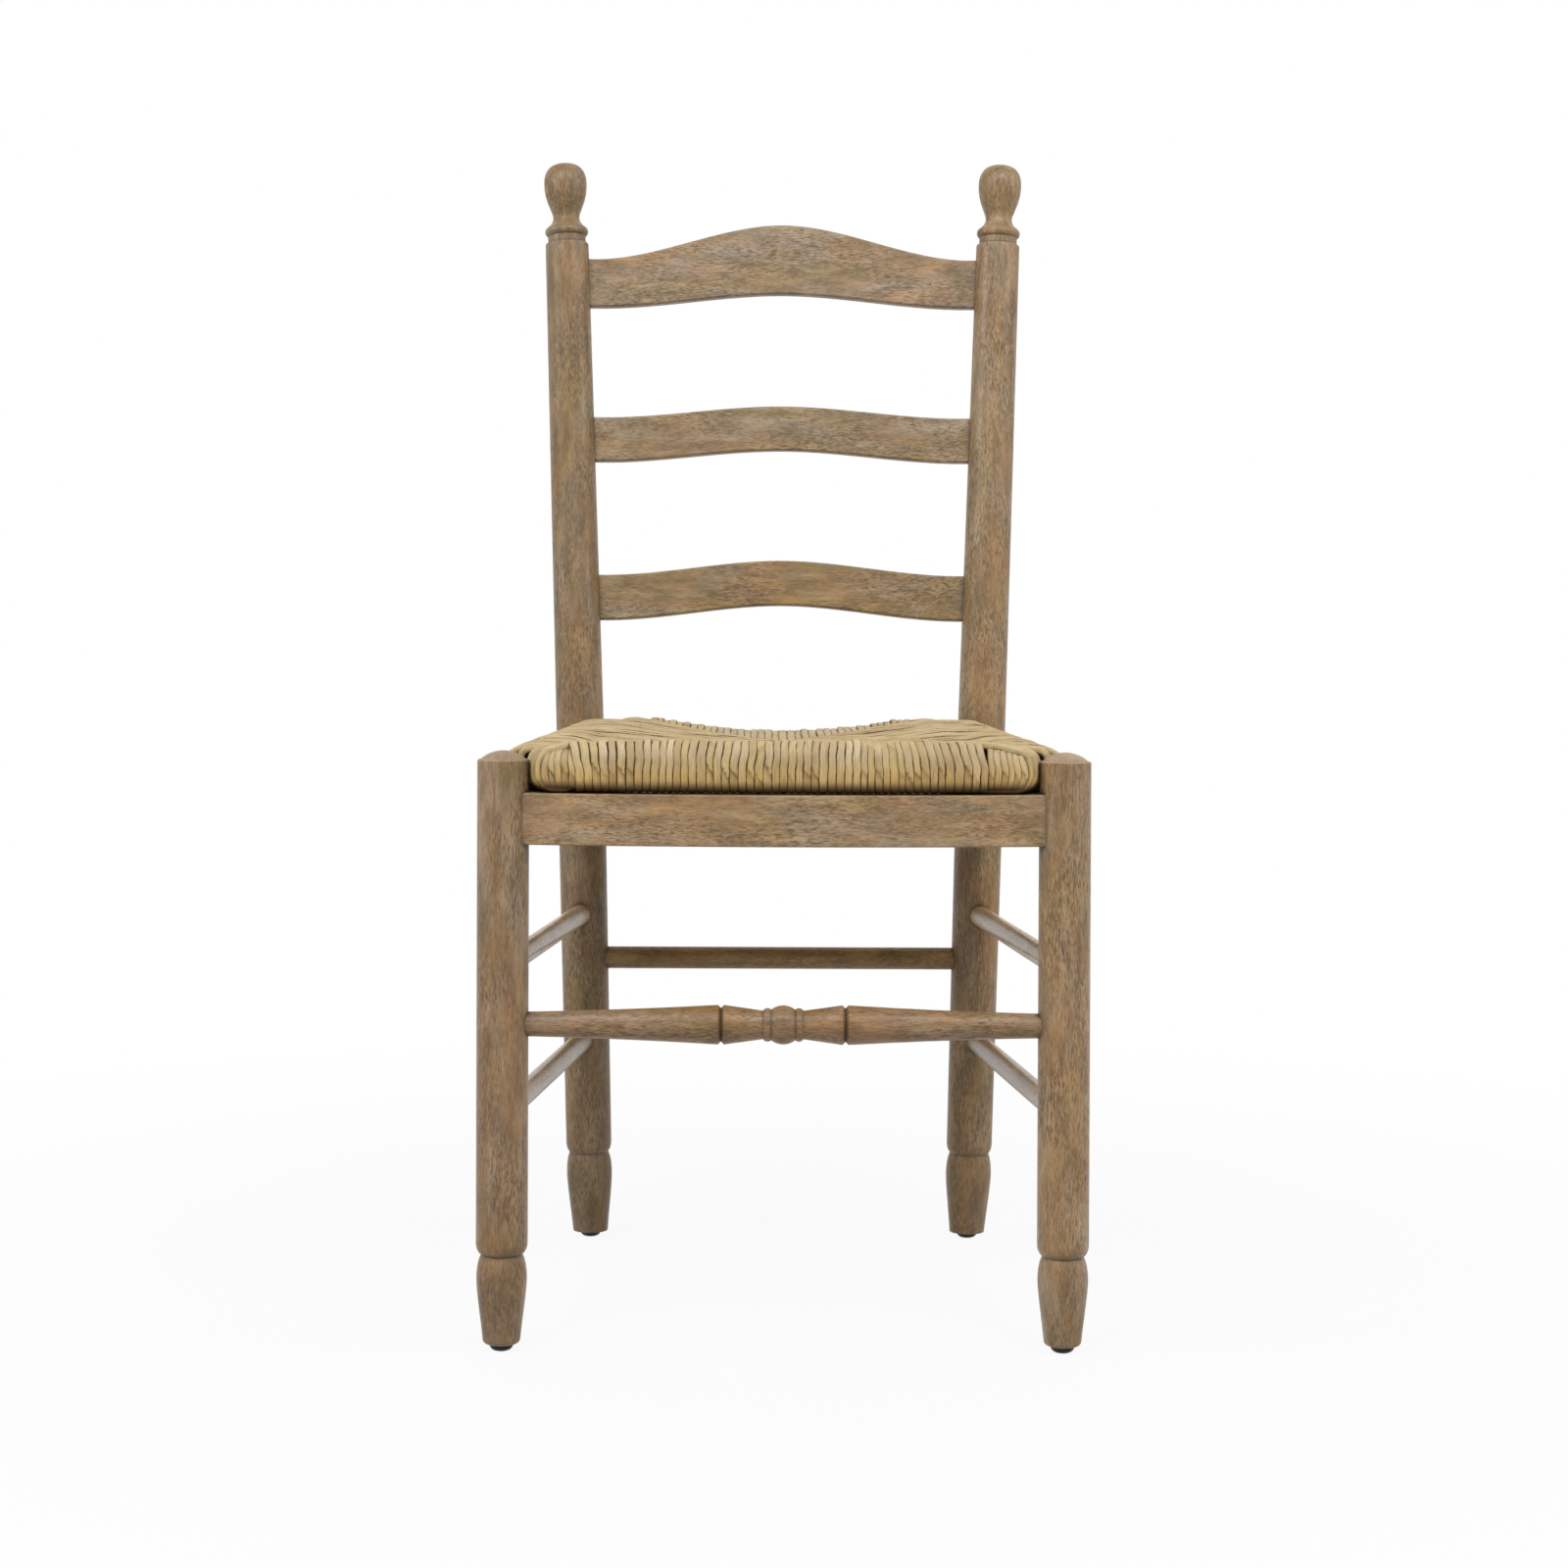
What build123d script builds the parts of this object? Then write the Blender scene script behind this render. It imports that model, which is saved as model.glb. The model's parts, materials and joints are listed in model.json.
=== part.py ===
# Ladder-back dining chair with a woven rush seat.
# Millimetres. X to the right in the front view, Y to the back, Z up from the floor.
import os
from math import asin, cos, degrees, hypot, radians, sin, tan

from build123d import *

os.makedirs("parts", exist_ok=True)

# Layout of the legs and posts
leg_spacing = 433
leg_height = 463
post_foot_spacing = 342.4
post_seat_spacing = 361
post_foot_depth = 405
post_seat_depth = 390
bend_drop = 33
bend_radius = 600
back_lean = 6.0
back_splay = 2.14
post_height = 981

# Turned front legs
leg_dia = 40
leg_shoulder_drop = 6.8
leg_dome_dia = 35.5
leg_edge_round = 1.5
leg_bulb_dia = 39
leg_groove_dia = 32
leg_toe_dia = 29.2

# Turned back posts
post_seat_dia = 42.8
post_ankle_dia = 41
post_top_dia = 39.6
post_bulb_dia = 41
post_groove_dia = 35
post_toe_dia = 31.4

# Turned feet, heights from the floor
glide_height = 5.5
toe_round = 3.5
bulb_height = 55.5
groove_height = 74.2
ankle_height = 83.5
post_foot_rise = 3.4
groove_fullness = 0.35
bulb_rise = 0.33
bulb_swell = 0.3
bulb_fullness = 0.8

# Ball finials, drops from the top of the post
ball_dia = 39.2
ball_drop = 19
crown_dia = 26.8
crown_drop = 3.2
neck_dia = 24.2
neck_drop = 50.6
ring_dia = 39.6
ring_top_drop = 59.9
ring_height = 8.4
collar_dia = 34.6
collar_height = 6.2
finial_shoulder_round = 2.3
ball_fullness = 0.55
neck_fullness = 0.2
ring_flare = 0.6

# Back slats
slat_thick = 12
slat_bow = 16
slat_edge_round = 2
slat_stop = 6
mortise_clear = 0.5
crest_drop = 133
crest_end_height = 44.5
crest_top_rise = 35.3
crest_bottom_rise = 15
middle_pitch = 142.5
middle_end_height = 40.8
middle_rise = 12.8
lower_pitch = 144.5
lower_end_height = 41
lower_rise = 15

# Apron boards under the seat
apron_drop = 72
apron_height = 40
apron_thick = 20
apron_bow = 16
apron_stop = 11
apron_edge_round = 1.5

# Stretchers
stretcher_stop = 5
front_stretcher_dia = 19
front_stretcher_height = 251.9
back_stretcher_dia = 19.8
back_stretcher_height = 254.8
side_stretcher_dia = 18
upper_side_height = 295.8
lower_side_height = 182.3
front_swell_dia = 30.4
front_waist_dia = 23.4
front_swell_at = 48
front_waist_span = 0.49
vee_width = 4.6
vee_dia = 25.8
cone_end_dia = 22
bead_dia = 25.7
bead_width = 6.4
centre_ball_dia = 30
centre_ball_width = 18.6

# Rush seat and its loose frame
seat_height = 40
rush_cover = 8
seat_front_overhang = 4
seat_side_overhang = 8
seat_clear = 3
seat_back_overhang = 9
front_notch_gap = 7.6
seat_edge_round = 12
notch_round = 7
rail_width = 55
dish_depth = 8
dish_span = 360
dish_overrun = 75

# Glue blocks and seat screws
block_leg = 72
block_height = 30
block_clear = 4
screw_shank_dia = 4
screw_head_dia = 8
screw_head_height = 2.6
screw_rim = 0.6
screw_recess = 2
screw_length = 46
screw_inset = 16

# Floor glides and their nails
glide_dia = 19
glide_foot_dia = 8
nail_dia = 2.4
nail_head_dia = 6
nail_head_height = 1.2
nail_head_base = 2.2
nail_length = 20

# Fits
glue_gap = 0.05
screw_gap = 0.05
seat_gap = 0.05

# Heights that follow the top of the front legs and the top of the posts
apron_base = leg_height - apron_drop
bend_height = leg_height - bend_drop
crest_base = post_height - crest_drop
middle_base = crest_base - middle_pitch
lower_base = middle_base - lower_pitch

# Directions and key points of the right-hand post, in a frame whose Y starts at the front leg axis
lower_run = Vector(
    (post_seat_spacing - post_foot_spacing) / 2, post_seat_depth - post_foot_depth, bend_height
)
lower_dir = lower_run.normalized()
upper_dir = Vector(tan(radians(back_splay)), tan(radians(back_lean)), 1).normalized()
upper_length = (post_height - bend_height) / upper_dir.Z
ball_depth = post_seat_depth + (upper_length - ball_drop) * upper_dir.Y

# The overall depth runs from the bowed front of the seat to the back of the finials
front_reach = apron_thick / 2 + apron_bow + seat_front_overhang
leg_y = (front_reach - ball_depth - ball_dia / 2) / 2
leg_x = leg_spacing / 2
leg_r = leg_dia / 2
seat_point = Vector(post_seat_spacing / 2, leg_y + post_seat_depth, bend_height)
foot_point = Vector(post_foot_spacing / 2, leg_y + post_foot_depth, 0)

# Bend of the post: a circular arc that is tangent to both straight runs
half_bend = radians(lower_dir.get_angle(upper_dir)) / 2
bend_tangent = bend_radius * tan(half_bend)
bend_start = seat_point - lower_dir * bend_tangent
bend_end = seat_point + upper_dir * bend_tangent
bend_inward = (upper_dir - lower_dir).normalized()
bend_middle = seat_point + bend_inward * (bend_radius / cos(half_bend) - bend_radius)
post_r = post_seat_dia / 2


def lower_axis_at(height):
    """Point on the right post's lower axis at a height above the floor."""
    return foot_point + lower_run * (height / bend_height)


def upper_axis_at(height):
    """Point on the right post's upper axis at a height above the floor."""
    return seat_point + upper_dir * ((height - bend_height) / upper_dir.Z)


def axis_plane(origin, direction):
    """Plane whose local Y runs along a direction and whose local X lies near the global X."""
    across = (Vector(1, 0, 0) - direction * direction.X).normalized()
    return Plane(origin=origin, x_dir=across, z_dir=across.cross(direction))


def foot_lines(toe_dia, bulb_dia, groove_dia, ankle_dia, bottom, rise):
    """Half outline of a turned foot, from the centre of its underside up to the shaft."""
    toe_r = toe_dia / 2
    bulb_r = bulb_dia / 2
    groove_r = groove_dia / 2
    ankle_r = ankle_dia / 2
    toe_top = bottom + toe_round
    bulb_z = bulb_height + rise
    groove_z = groove_height + rise
    ankle_z = ankle_height + rise
    bulb_run = bulb_z - toe_top
    groove_run = groove_z - bulb_z
    ankle_run = ankle_z - groove_z
    Line((0, bottom), (toe_r - toe_round, bottom))
    RadiusArc((toe_r - toe_round, bottom), (toe_r, toe_top), -toe_round)
    Bezier(
        (toe_r, toe_top),
        (toe_r + (bulb_r - toe_r) * bulb_swell, toe_top + bulb_run * bulb_rise),
        (bulb_r, toe_top + bulb_run * bulb_fullness),
        (bulb_r, bulb_z),
    )
    Bezier(
        (bulb_r, bulb_z),
        (bulb_r, groove_z - groove_run * groove_fullness),
        (groove_r, groove_z),
    )
    Bezier(
        (groove_r, groove_z),
        (ankle_r, groove_z + ankle_run * groove_fullness),
        (ankle_r, ankle_z),
    )


def long_edges(candidates):
    """Edges that run across the chair, from left to right."""
    return [e for e in candidates if abs((e @ 1).X - (e @ 0).X) > apron_edge_round]


def bow_radius(half_span, bow):
    """Radius of an arc that rises by bow over half its chord."""
    return (half_span**2 + bow**2) / (2 * bow)


# Side boards and rails run from the front leg axis to the post axis
side_start = Vector(leg_x, leg_y, apron_base)
side_end = Vector(bend_middle.X, bend_middle.Y, apron_base)
side_run = side_end - side_start
side_length = side_run.length
side_dir = side_run.normalized()
side_plane = Plane(origin=side_start, x_dir=side_dir, z_dir=(0, 0, 1))
back_y = bend_middle.Y
post_x = bend_middle.X
seat_base = apron_base + apron_height + seat_gap


def side_x(depth, outward):
    """X of a line parallel to the right side board, moved outward, at a distance behind the leg axis."""
    return leg_x + (side_dir.X * depth + outward) / side_dir.Y


def front_board(grow):
    """Bowed board between the front legs, grown on every face for cutting its housings."""
    radius = bow_radius(leg_x, apron_bow)
    half_turn = asin((leg_x - apron_stop + grow) / radius)
    centre = Vector(0, leg_y - apron_bow + radius, apron_base + apron_height / 2)
    toward = Vector(-sin(half_turn), -cos(half_turn), 0)
    with BuildPart() as board:
        with BuildSketch(Plane(origin=centre, x_dir=toward, z_dir=toward.cross(Vector(0, 0, 1)))):
            with Locations((radius, 0)):
                RectangleRounded(apron_thick + 2 * grow, apron_height + 2 * grow, apron_edge_round)
        revolve(axis=Axis(centre, (0, 0, 1)), revolution_arc=degrees(2 * half_turn))
    return board.part


def side_board(grow):
    """Straight board between the right front leg and the right post, grown for cutting its housings."""
    with BuildPart() as board:
        with BuildSketch(side_plane.offset(-grow)):
            with Locations((side_length / 2, 0)):
                Rectangle(side_length - 2 * apron_stop + 2 * grow, apron_thick + 2 * grow)
        extrude(amount=apron_height + 2 * grow)
    return board.part


def back_board(grow):
    """Straight board between the posts, grown for cutting its housings."""
    with BuildPart() as board:
        with BuildSketch(Plane.XY.offset(apron_base - grow)):
            with Locations((0, back_y)):
                Rectangle(2 * (post_x - apron_stop + grow), apron_thick + 2 * grow)
        extrude(amount=apron_height + 2 * grow)
    return board.part


def rod(start, end, diameter, grow):
    """Plain round rod between two points, grown for drilling its sockets."""
    run = end - start
    along = run.normalized()
    with BuildPart() as bar:
        with BuildSketch(Plane(origin=start - along * grow, z_dir=along)):
            Circle(diameter / 2 + grow)
        extrude(amount=run.length + 2 * grow)
    return bar.part


def side_rod(height, grow):
    """Right side stretcher at a height."""
    front = Vector(leg_x, leg_y, height)
    back = lower_axis_at(height)
    along = (back - front).normalized()
    return rod(front + along * stretcher_stop, back - along * stretcher_stop, side_stretcher_dia, grow)


def cross_rod(axis_point, diameter, grow):
    """Plain rod across the chair between a right-hand axis point and its mirror image."""
    end = Vector(axis_point.X - stretcher_stop, axis_point.Y, axis_point.Z)
    return rod(Vector(-end.X, end.Y, end.Z), end, diameter, grow)


# Slats stand in the lean of the back and bow away from the sitter
rightward = Vector(1, 0, 0)
lean_up = Vector(0, upper_dir.Y, upper_dir.Z).normalized()
backward = lean_up.cross(rightward)


def slat_origin(base):
    """Point midway between the posts at the level of a slat's lower edge."""
    low_point = upper_axis_at(base)
    return Vector(0, low_point.Y, low_point.Z)


def slat(base, end_height, top_rise, bottom_rise):
    """Bowed and arched back slat."""
    reach = upper_axis_at(base + end_height / 2).X
    origin = slat_origin(base)
    start = reach - post_top_dia / 2
    end = reach - slat_stop
    arch_high = end_height + top_rise
    third = start / 3
    radius = bow_radius(reach, slat_bow)
    with BuildPart() as board:
        with BuildSketch(Plane(origin=origin, x_dir=rightward, z_dir=rightward.cross(lean_up))):
            with BuildLine():
                Line((-end, 0), (-start, 0))
                Bezier((-start, 0), (-2 * third, 0), (-third, bottom_rise), (0, bottom_rise))
                Bezier((0, bottom_rise), (third, bottom_rise), (2 * third, 0), (start, 0))
                Line((start, 0), (end, 0))
                Line((end, 0), (end, end_height))
                Line((end, end_height), (start, end_height))
                Bezier((start, end_height), (2 * third, end_height), (third, arch_high), (0, arch_high))
                Bezier((0, arch_high), (-third, arch_high), (-2 * third, end_height), (-start, end_height))
                Line((-start, end_height), (-end, end_height))
                Line((-end, end_height), (-end, 0))
            make_face()
        extrude(amount=slat_bow + 2 * slat_thick, both=True)
        with BuildSketch(Plane(origin=origin - lean_up * end_height, x_dir=rightward, z_dir=lean_up)):
            with Locations((0, slat_bow - radius)):
                Circle(radius + slat_thick / 2)
                Circle(radius - slat_thick / 2, mode=Mode.SUBTRACT)
        extrude(amount=3 * end_height + top_rise, mode=Mode.INTERSECT)
        fillet(long_edges(edges()), slat_edge_round)
    return board.part


def mortise(base, end_height):
    """Room in the right-hand post for the end of a slat: the slat's section swept along its bow."""
    reach = upper_axis_at(base + end_height / 2).X
    radius = bow_radius(reach, slat_bow)
    centre = slat_origin(base) + lean_up * (end_height / 2) + backward * (slat_bow - radius)
    deep_turn = asin((reach - slat_stop + mortise_clear) / (radius - slat_thick / 2 - glue_gap))
    open_turn = asin((reach - post_seat_dia) / radius)
    toward = rightward * sin(deep_turn) + backward * cos(deep_turn)
    with BuildPart() as room:
        with BuildSketch(Plane(origin=centre, x_dir=toward, z_dir=toward.cross(lean_up))):
            with Locations((radius, 0)):
                RectangleRounded(slat_thick + 2 * glue_gap, end_height + 2 * glue_gap, slat_edge_round)
        revolve(axis=Axis(centre, lean_up), revolution_arc=degrees(deep_turn - open_turn))
    return room.part


def glide_axis(post):
    """Upright axis of the right-hand glide under a post or a front leg."""
    centre = lower_axis_at(glide_height) if post else Vector(leg_x, leg_y, 0)
    return Plane(origin=(centre.X, centre.Y, 0), x_dir=(1, 0, 0), z_dir=(0, -1, 0))


def nail(post, grow):
    """Nail of a right-hand glide, grown for its hole."""
    head_low = nail_head_base - grow
    head_high = nail_head_base + nail_head_height + grow
    tip = nail_head_base + nail_length + grow
    plane = glide_axis(post)
    with BuildPart() as body:
        with BuildSketch(plane):
            with BuildLine():
                Polyline(
                    (0, head_low),
                    (nail_head_dia / 2 + grow, head_low),
                    (nail_head_dia / 2 + grow, head_high),
                    (nail_dia / 2 + grow, head_high),
                    (nail_dia / 2 + grow, tip - nail_dia / 2),
                    (0, tip),
                    close=True,
                )
            make_face()
        revolve(axis=Axis(plane.origin, (0, 0, 1)))
    return body.part


# Right front leg
with BuildPart() as right_front_leg:
    with BuildSketch(Plane(origin=(leg_x, leg_y, 0), x_dir=(1, 0, 0), z_dir=(0, -1, 0))):
        with BuildLine():
            foot_lines(leg_toe_dia, leg_bulb_dia, leg_groove_dia, leg_dia, glide_height, 0)
            shoulder = leg_height - leg_shoulder_drop
            Line((leg_r, ankle_height), (leg_r, shoulder - leg_edge_round))
            RadiusArc((leg_r, shoulder - leg_edge_round), (leg_r - leg_edge_round, shoulder), -leg_edge_round)
            Line((leg_r - leg_edge_round, shoulder), (leg_dome_dia / 2, shoulder))
            dome_round = bow_radius(leg_dome_dia / 2, leg_shoulder_drop)
            RadiusArc((leg_dome_dia / 2, shoulder), (0, leg_height), -dome_round)
            Line((0, leg_height), (0, glide_height))
        make_face()
    revolve(axis=Axis((leg_x, leg_y, 0), (0, 0, 1)))
    add(front_board(glue_gap), mode=Mode.SUBTRACT)
    add(side_board(glue_gap), mode=Mode.SUBTRACT)
    front_socket = Vector(leg_x, leg_y, front_stretcher_height)
    add(cross_rod(front_socket, front_stretcher_dia, glue_gap), mode=Mode.SUBTRACT)
    add(side_rod(upper_side_height, glue_gap), mode=Mode.SUBTRACT)
    add(side_rod(lower_side_height, glue_gap), mode=Mode.SUBTRACT)
    add(nail(False, glue_gap), mode=Mode.SUBTRACT)

# Right back post: turned lower run, bent middle and turned upper run with its finial
with BuildPart() as right_back_post:
    with BuildSketch(axis_plane(foot_point, lower_dir)):
        with BuildLine():
            post_bottom = glide_height - toe_round
            foot_lines(
                post_toe_dia, post_bulb_dia, post_groove_dia, post_ankle_dia, post_bottom, post_foot_rise
            )
            lower_length = lower_run.length - bend_tangent
            Line((post_ankle_dia / 2, ankle_height + post_foot_rise), (post_r, lower_length))
            Line((post_r, lower_length), (0, lower_length))
            Line((0, lower_length), (0, post_bottom))
        make_face()
    revolve(axis=Axis(foot_point, lower_dir))
    split(bisect_by=Plane.XY.offset(glide_height), keep=Keep.TOP)
    with BuildLine() as bend:
        ThreePointArc(bend_start, bend_middle, bend_end)
    with BuildSketch(Plane(origin=bend_start, z_dir=lower_dir)):
        Circle(post_r)
    sweep(path=bend.line)
    with BuildSketch(axis_plane(seat_point, upper_dir)):
        with BuildLine():
            collar_top = upper_length - ring_top_drop - ring_height
            shaft_top = collar_top - collar_height
            shaft_end = shaft_top - finial_shoulder_round
            ring_top = upper_length - ring_top_drop
            neck_at = upper_length - neck_drop
            ball_at = upper_length - ball_drop
            ball_run = ball_at - neck_at
            flare_run = neck_at - ring_top
            Line((0, bend_tangent), (post_r, bend_tangent))
            Line((post_r, bend_tangent), (post_top_dia / 2, shaft_end))
            RadiusArc(
                (post_top_dia / 2, shaft_end),
                (post_top_dia / 2 - finial_shoulder_round, shaft_top),
                -finial_shoulder_round,
            )
            Line((post_top_dia / 2 - finial_shoulder_round, shaft_top), (collar_dia / 2, shaft_top))
            Line((collar_dia / 2, shaft_top), (collar_dia / 2, collar_top))
            ThreePointArc(
                (collar_dia / 2, collar_top),
                (ring_dia / 2, collar_top + ring_height / 2),
                (collar_dia / 2, ring_top),
            )
            Bezier(
                (collar_dia / 2, ring_top),
                (neck_dia / 2, ring_top + flare_run * (1 - ring_flare)),
                (neck_dia / 2, neck_at),
            )
            Bezier(
                (neck_dia / 2, neck_at),
                (neck_dia / 2, neck_at + ball_run * neck_fullness),
                (ball_dia / 2, ball_at - ball_run * ball_fullness),
                (ball_dia / 2, ball_at),
            )
            Spline(
                (ball_dia / 2, ball_at),
                (crown_dia / 2, upper_length - crown_drop),
                (0, upper_length),
                tangents=((0, 1), (-1, 0)),
            )
            Line((0, upper_length), (0, bend_tangent))
        make_face()
    revolve(axis=Axis(seat_point, upper_dir))
    add(mortise(crest_base, crest_end_height), mode=Mode.SUBTRACT)
    add(mortise(middle_base, middle_end_height), mode=Mode.SUBTRACT)
    add(mortise(lower_base, lower_end_height), mode=Mode.SUBTRACT)
    add(side_board(glue_gap), mode=Mode.SUBTRACT)
    add(back_board(glue_gap), mode=Mode.SUBTRACT)
    back_socket = lower_axis_at(back_stretcher_height)
    add(cross_rod(back_socket, back_stretcher_dia, glue_gap), mode=Mode.SUBTRACT)
    add(side_rod(upper_side_height, glue_gap), mode=Mode.SUBTRACT)
    add(side_rod(lower_side_height, glue_gap), mode=Mode.SUBTRACT)
    add(nail(True, glue_gap), mode=Mode.SUBTRACT)

# Left front leg and left back post
with BuildPart() as left_front_leg:
    mirror(right_front_leg.part, about=Plane.YZ)

with BuildPart() as left_back_post:
    mirror(right_back_post.part, about=Plane.YZ)

# Back slats
with BuildPart() as top_slat:
    add(slat(crest_base, crest_end_height, crest_top_rise, crest_bottom_rise))

with BuildPart() as middle_slat:
    add(slat(middle_base, middle_end_height, middle_rise, middle_rise))

with BuildPart() as bottom_slat:
    add(slat(lower_base, lower_end_height, lower_rise, lower_rise))

# Apron boards
with BuildPart() as front_apron:
    add(front_board(0))

with BuildPart() as right_apron:
    add(side_board(0))

with BuildPart() as left_apron:
    mirror(right_apron.part, about=Plane.YZ)

with BuildPart() as back_apron:
    add(back_board(0))

# Turned front stretcher: the right half of its outline, turned and mirrored
with BuildPart() as front_stretcher:
    with BuildSketch(Plane(origin=(0, leg_y, front_stretcher_height), x_dir=(1, 0, 0), z_dir=(0, -1, 0))):
        with BuildLine():
            ball_r = centre_ball_dia / 2
            ball_end = centre_ball_width / 2
            ball_end_r = (ball_r**2 - ball_end**2) ** 0.5
            bead_end = ball_end + bead_width
            swell_r = front_swell_dia / 2
            vee_start = front_swell_at - vee_width / 2
            vee_end = front_swell_at + vee_width / 2
            leg_face = leg_x - leg_r
            waist_at = vee_end + (leg_face - vee_end) * front_waist_span
            stretcher_r = front_stretcher_dia / 2
            Line((0, 0), (0, ball_r))
            RadiusArc((0, ball_r), (ball_end, ball_end_r), ball_r)
            ThreePointArc(
                (ball_end, ball_end_r),
                (ball_end + bead_width / 2, bead_dia / 2),
                (bead_end, cone_end_dia / 2),
            )
            Line((bead_end, cone_end_dia / 2), (vee_start, swell_r))
            Line((vee_start, swell_r), (front_swell_at, vee_dia / 2))
            Line((front_swell_at, vee_dia / 2), (vee_end, swell_r))
            Spline((vee_end, swell_r), (waist_at, front_waist_dia / 2), (leg_face, stretcher_r))
            Line((leg_face, stretcher_r), (leg_x - stretcher_stop, stretcher_r))
            Line((leg_x - stretcher_stop, stretcher_r), (leg_x - stretcher_stop, 0))
            Line((leg_x - stretcher_stop, 0), (0, 0))
        make_face()
    revolve(axis=Axis((0, leg_y, front_stretcher_height), (1, 0, 0)))
    mirror(about=Plane.YZ)

# Plain stretchers
with BuildPart() as back_stretcher:
    add(cross_rod(back_socket, back_stretcher_dia, 0))

with BuildPart() as right_upper_stretcher:
    add(side_rod(upper_side_height, 0))

with BuildPart() as right_lower_stretcher:
    add(side_rod(lower_side_height, 0))

with BuildPart() as left_upper_stretcher:
    mirror(right_upper_stretcher.part, about=Plane.YZ)

with BuildPart() as left_lower_stretcher:
    mirror(right_lower_stretcher.part, about=Plane.YZ)

# Outline of the seat in plan, notched round the legs and posts
front_radius = bow_radius(leg_x, apron_bow)
front_centre_y = leg_y - apron_bow + front_radius
seat_front_end = leg_x - leg_r - front_notch_gap
post_notch_x = post_x - post_r - seat_clear
rail_base = seat_base + rush_cover
rail_height = seat_height - 2 * rush_cover - dish_depth
lap_height = rail_base + rail_height / 2
front_rail_back = leg_y - apron_thick / 2 - seat_front_overhang + rush_cover + rail_width
back_rail_front = back_y + seat_back_overhang - rush_cover - rail_width


def seat_lines(inset):
    """Closed outline of the seat, moved inward by inset."""
    arc_r = front_radius + apron_thick / 2 + seat_front_overhang - inset
    end_x = seat_front_end - inset
    end_y = front_centre_y - (arc_r**2 - end_x**2) ** 0.5
    leg_depth = leg_r + seat_clear + inset
    post_depth = back_y - leg_y - post_r - seat_clear - inset
    outward = seat_side_overhang - inset
    rear = back_y + seat_back_overhang - inset
    inner = post_notch_x - inset
    ThreePointArc((-end_x, end_y), (0, front_centre_y - arc_r), (end_x, end_y))
    right = [
        (end_x, end_y),
        (end_x, leg_y + leg_depth),
        (side_x(leg_depth, outward), leg_y + leg_depth),
        (side_x(post_depth, outward), leg_y + post_depth),
        (inner, leg_y + post_depth),
        (inner, rear),
    ]
    left = [(-x, y) for x, y in reversed(right)]
    Polyline(*right, *left)


def side_strip(outward, reach):
    """Four corners of the strip outside a line that is parallel to the right side board."""
    depth = side_length + rail_width
    return [
        (side_x(-depth, outward), leg_y - depth),
        (side_x(-depth, outward + reach), leg_y - depth),
        (side_x(depth, outward + reach), leg_y + depth),
        (side_x(depth, outward), leg_y + depth),
    ]


inner_outward = seat_side_overhang - rush_cover - rail_width
strip_reach = 2 * rail_width
half_seat = leg_spacing


def frame_blank(kind, grow):
    """Full-height blank of one seat rail, grown on every face."""
    with BuildPart() as blank:
        with BuildSketch(Plane.XY.offset(rail_base - grow)):
            with BuildLine():
                seat_lines(rush_cover - grow)
            make_face()
            if kind == "front":
                with Locations((0, front_rail_back + grow)):
                    Rectangle(
                        2 * half_seat, half_seat, align=(Align.CENTER, Align.MAX), mode=Mode.INTERSECT
                    )
            elif kind == "back":
                with Locations((0, back_rail_front - grow)):
                    Rectangle(
                        2 * half_seat, half_seat, align=(Align.CENTER, Align.MIN), mode=Mode.INTERSECT
                    )
            else:
                Polygon(*side_strip(inner_outward - grow, strip_reach), align=None, mode=Mode.INTERSECT)
        extrude(amount=rail_height + 2 * grow)
    return blank.part


def screw_spot(front):
    """Plan position of a right-hand seat screw, in the middle of the lapped tongue of the frame."""
    if front:
        depth = leg_r + screw_inset
        outer = seat_front_end - rush_cover
    else:
        depth = back_y - leg_y - post_r - screw_inset
        outer = post_notch_x - rush_cover
    return Vector((side_x(depth, inner_outward) + outer) / 2, leg_y + depth, 0)


block_base = apron_base + apron_height - block_height
screw_base = block_base + screw_recess


def screw(front, grow, access):
    """Right-hand seat screw, grown for its hole; access runs the head's bore on downwards."""
    spot = screw_spot(front)
    plane = Plane(origin=spot, x_dir=(1, 0, 0), z_dir=(0, -1, 0))
    low = screw_base - access
    rim = screw_base + screw_rim + grow
    neck = rim + screw_head_height
    tip = screw_base + screw_length + grow
    head_r = screw_head_dia / 2 + grow
    shank_r = screw_shank_dia / 2 + grow
    outline = [(0, low), (head_r, low), (head_r, rim), (shank_r, neck)]
    outline += [(shank_r, tip - shank_r), (0, tip)]
    with BuildPart() as body:
        with BuildSketch(plane):
            with BuildLine():
                Polyline(*outline, close=True)
            make_face()
        revolve(axis=Axis(spot, (0, 0, 1)))
    return body.part


# Rails of the seat frame, half-lapped at the corners: side rails above, front and back rails below
with BuildPart() as front_seat_rail:
    add(frame_blank("front", 0))
    with BuildSketch(Plane.XY.offset(lap_height - glue_gap)):
        Polygon(*side_strip(inner_outward - glue_gap, strip_reach), align=None)
        mirror(about=Plane.YZ)
    extrude(amount=rail_height, mode=Mode.SUBTRACT)
    add(screw(True, screw_gap, 0), mode=Mode.SUBTRACT)
    add(mirror(screw(True, screw_gap, 0), about=Plane.YZ, mode=Mode.PRIVATE), mode=Mode.SUBTRACT)

with BuildPart() as back_seat_rail:
    add(frame_blank("back", 0))
    with BuildSketch(Plane.XY.offset(lap_height - glue_gap)):
        Polygon(*side_strip(inner_outward - glue_gap, strip_reach), align=None)
        mirror(about=Plane.YZ)
    extrude(amount=rail_height, mode=Mode.SUBTRACT)
    add(screw(False, screw_gap, 0), mode=Mode.SUBTRACT)
    add(mirror(screw(False, screw_gap, 0), about=Plane.YZ, mode=Mode.PRIVATE), mode=Mode.SUBTRACT)

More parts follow.
